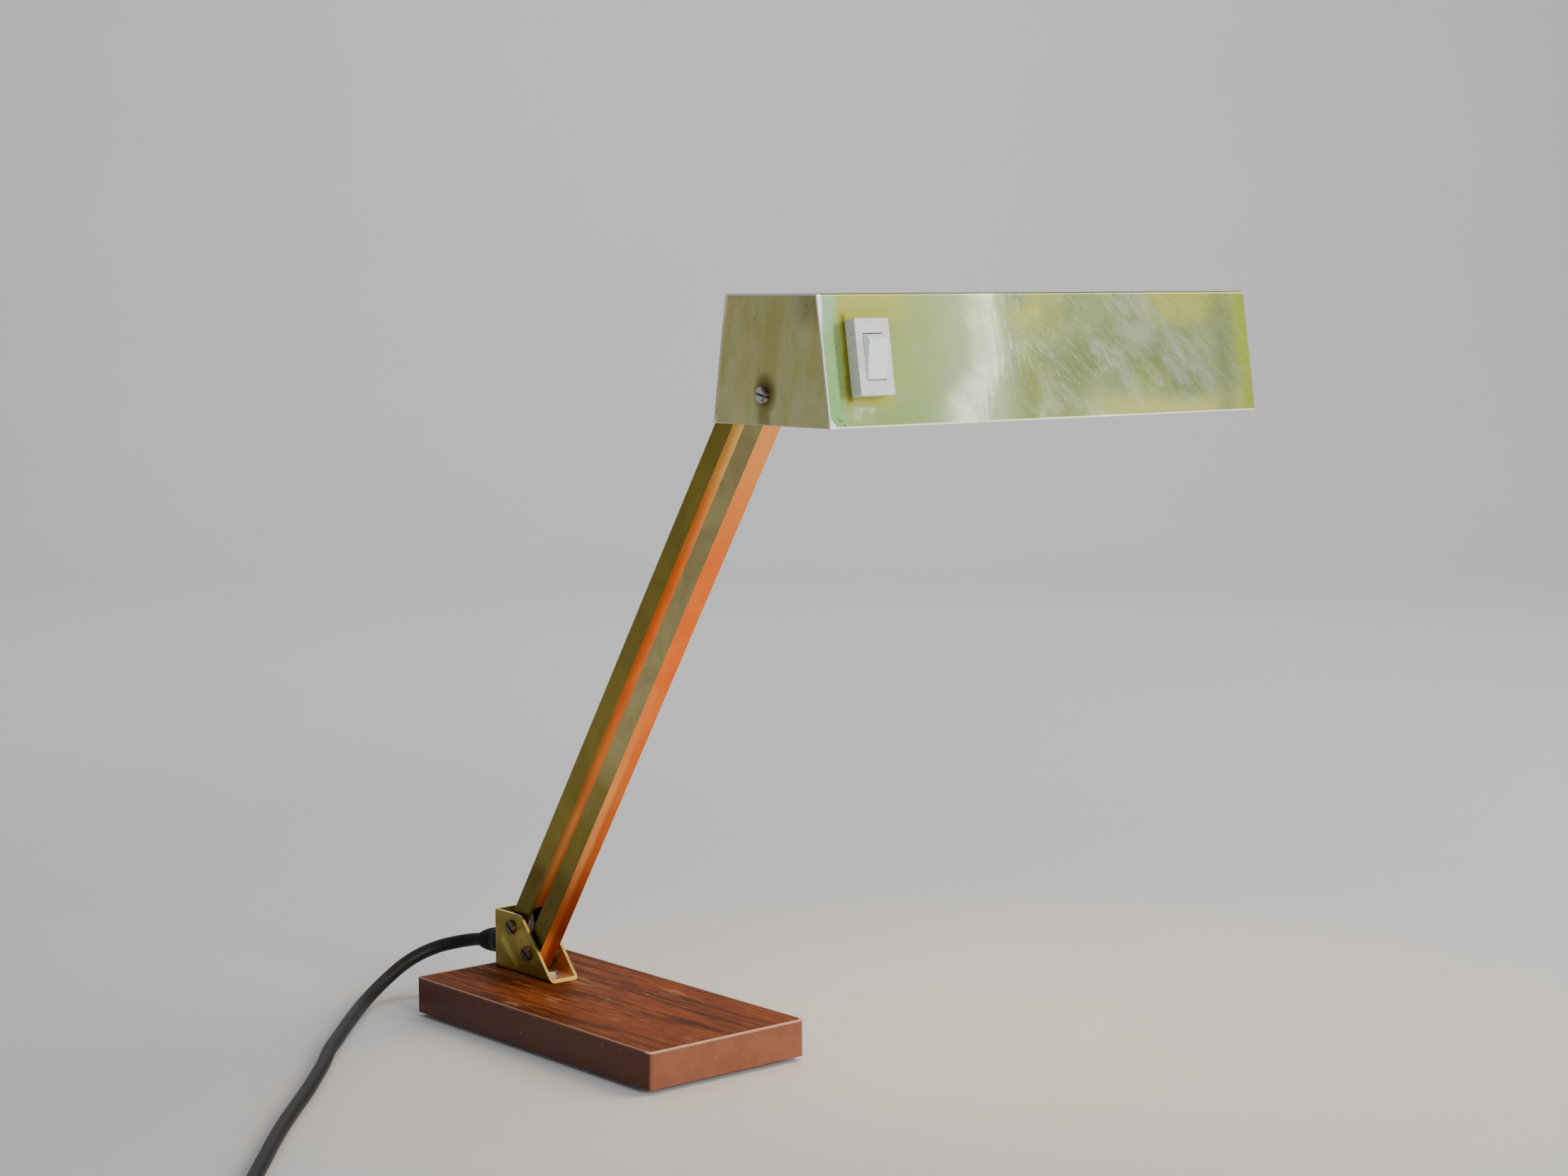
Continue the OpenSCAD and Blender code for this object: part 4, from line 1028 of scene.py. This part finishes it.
def arm_leads():
    """The twin lead inside the rear tube, in at its lower slot and out at its upper one."""
    foot = JOINTS["arm_swing"]
    length = (JOINTS["head_tilt"] - JOINTS["front_arm_swing"]).length
    for side, name in SIDES:
        places = [foot + ARM_FRONT * out * MM + ARM * up * MM for out, up in LEAD_PATH]
        places += [foot + ARM_FRONT * out * MM + ARM * (length - down * MM)
                   for out, down in reversed(LEAD_PATH)]
        places = [q + Vector((0, LEAD_ASIDE * side, 0)) for q in places]
        piece = tube_curve(f"arm_lead_{name}", smooth(places, 6), LEAD_R, LEAD_ROUNDNESS)
        paint(piece, LEAD_PVC)
        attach(piece, "rear_arm")
    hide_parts("arm_lead")


def joint_leads():
    """The two leads across the arm's lower joint, from the bracket's back to the rear tube's foot."""
    start = Vector((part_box("entry_leads")[1].x - 1 * MM, ARM_Y, EXIT.z - 3 * MM))
    end = JOINTS["arm_swing"] + ARM_FRONT * 5.1 * MM - ARM * 3.4 * MM
    places = [start, start + Vector((2.5, 0, -0.1)) * MM, (start + end) / 2 + Vector((2.6, 0, -2.2)) * MM,
              end - ARM * 2.6 * MM + ARM_FRONT * 0.2 * MM, end]
    for side, name in SIDES:
        aside = Vector((0, LEAD_ASIDE * side, 0))
        line = [q + aside for q in smooth(places, 6)]
        piece = to_mesh(tube_curve(f"joint_lead_{name}", line, LEAD_R, LEAD_ROUNDNESS))
        paint(piece, LEAD_PVC)
        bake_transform(piece)


arm_leads()
joint_leads()

# ---------------------------------------------------------------- CAD nodes: edges and materials

# Material, radius of the rounded edges in millimetres, segments across them, and the nodes.
DRESS = (
    (BRASS_SHADE, 0.22, 2, "head_shell"),
    (BRASS_PLATE, 0.15, 2, "left_end_plate", "right_end_plate"),
    (BRASS_REAR, 0.7, 3, "rear_tube"),
    (BRASS_FRONT, 0.7, 3, "front_tube"),
    (LACQUER, 0.5, 3, "base_shell"),
    (VENEER, 0.3, 2, "veneer_top"),
    (FELT, 0.6, 2, "felt_pad"),
    (IRON, 0.8, 2, "ballast_weight"),
    (STEEL, 0.2, 2, "bottom_cover"),
    (SHADED_BEZEL_PLASTIC, 0.7, 4, "switch_bezel"),
    (ROCKER, 0.5, 4, "rocker"),
    (STEEL, 0.25, 2, "cover_screws", "bracket_nuts", "lower_pivot_nuts", "rear_upper_pin", "head_lock_nut",
     "head_bracket", "reflector_spacers", "reflector_nuts", "holder_bracket", "switch_screws", "plug_pins"),
    (STEEL_DARK, 0.3, 3, "lower_pivot_screws"),
    (STEEL_DARK, 0.25, 2, "bracket_screws"),
    (STEEL_SCREW, 0.4, 3, "head_pivot_screw"),
    (BRASS_INNER, 0.2, 2, "carrier_plate", "reflector_studs", "earth_screw", "bulb_cap", "switch_terminals"),
    (NYLON, 0.2, 2, "lower_spacers", "rear_bushes", "front_bushes"),
    (FIBRE, 0.1, 2, "carrier_washers"),
    (WHITE, 0.2, 2, "reflector"),
    (BAKELITE, 0.8, 3, "lamp_holder"),
    (BLACK, 0.3, 2, "gland_nut", "switch_body"),
)
# Round nodes that have no edges to soften.
ROUND_DRESS = ((OPAL, "bulb_glass"), (LEAD_PVC, "entry_leads"), (LEAD_PVC, "head_leads"))


def dress_nodes():
    """Rounds the CAD nodes' edges and gives each its material, the bracket's rubbed edges a second one."""
    for material, radius, segments, *names in DRESS:
        for name in names:
            soften(name, radius * MM, segments)
            paint(NODES[name], material)
    edge = soften("pivot_bracket", 0.45 * MM, 3)
    edge.material = 1
    paint(NODES["pivot_bracket"], BRASS_BRACKET, BRASS_EDGE)
    for material, name in ROUND_DRESS:
        smooth_faces(NODES[name], ROUND_ANGLE)
        paint(NODES[name], material)


dress_nodes()

# ---------------------------------------------------------------- stage and light

FLOOR_NEAR, WALL_AT = -6.0, 3.6     # along the view, from the lamp
WALL_TOP, FLOOR_HALF_WIDTH = 5.0, 7
BEND_R, BEND_STEPS = 1.2, 16        # the curve between floor and wall
LIT_PLACE = (0.1, 0.1, 0.2)         # where the main lights point


def stage():
    """A pale floor that curves up, far behind the lamp, into a backdrop."""
    p = Paint("pale_floor", Roughness=0.8)
    p.to("Base Color", p.mix(p.noise(3, detail=2), (0.70, 0.70, 0.70), (0.73, 0.73, 0.73)))
    away = Vector((-math.sin(VIEW_AZIMUTH), math.cos(VIEW_AZIMUTH), 0))
    across = Vector((away.y, -away.x, 0))
    line = [(FLOOR_NEAR, 0.0), (WALL_AT - BEND_R, 0.0)]
    for k in range(1, BEND_STEPS + 1):
        turn = math.pi / 2 * k / BEND_STEPS
        line.append((WALL_AT - BEND_R + BEND_R * math.sin(turn), BEND_R - BEND_R * math.cos(turn)))
    line.append((WALL_AT, WALL_TOP))
    bm = bmesh.new()
    rows = [[bm.verts.new(away * distance + across * side + Vector((0, 0, height)))
             for side in (-FLOOR_HALF_WIDTH, FLOOR_HALF_WIDTH)] for distance, height in line]
    for a, b in zip(rows, rows[1:]):
        bm.faces.new((a[1], a[0], b[0], b[1]))
    floor = mesh_object("floor", bm, ROUND_ANGLE)
    paint(floor, p)


def area(name, place, at, size, power, colour, tall=None):
    """A soft rectangular light at a place, pointed at another, square unless it is given a height."""
    light = bpy.data.lights.new(name, "AREA")
    light.shape = "RECTANGLE"
    light.size = size
    light.size_y = tall or size
    light.energy = power
    light.color = colour
    obj = add_object(name, light)
    obj.location = place
    obj.rotation_euler = (Vector(at) - Vector(place)).to_track_quat("-Z", "Y").to_euler()


def lights():
    """A dim even sky, two soft lights, a narrow one for the painted highlight band and one on the backdrop.
    """
    world = bpy.data.worlds.new("studio")
    SCENE.world = world
    world.use_nodes = True
    sky = world.node_tree.nodes["Background"]
    sky.inputs["Color"].default_value = (0.80, 0.81, 0.84, 1)
    sky.inputs["Strength"].default_value = 0.42
    area("key", (0.9, 1.7, 1.6), LIT_PLACE, 1.2, 20, (1.0, 0.94, 0.86))
    area("front", (2.4, -0.1, 0.9), LIT_PLACE, 1.1, 40, (1.0, 0.98, 0.95))
    area("strip", (1.25, 1.22, 0.60), (0.18, 0.12, 0.36), 0.09, 2.5, (1, 1, 0.97), tall=0.9)
    area("backdrop", (-1.0, 0.9, 2.6), (-2.6, 2.4, 0.6), 1.8, 40, (0.96, 0.98, 1.0))


stage()
lights()
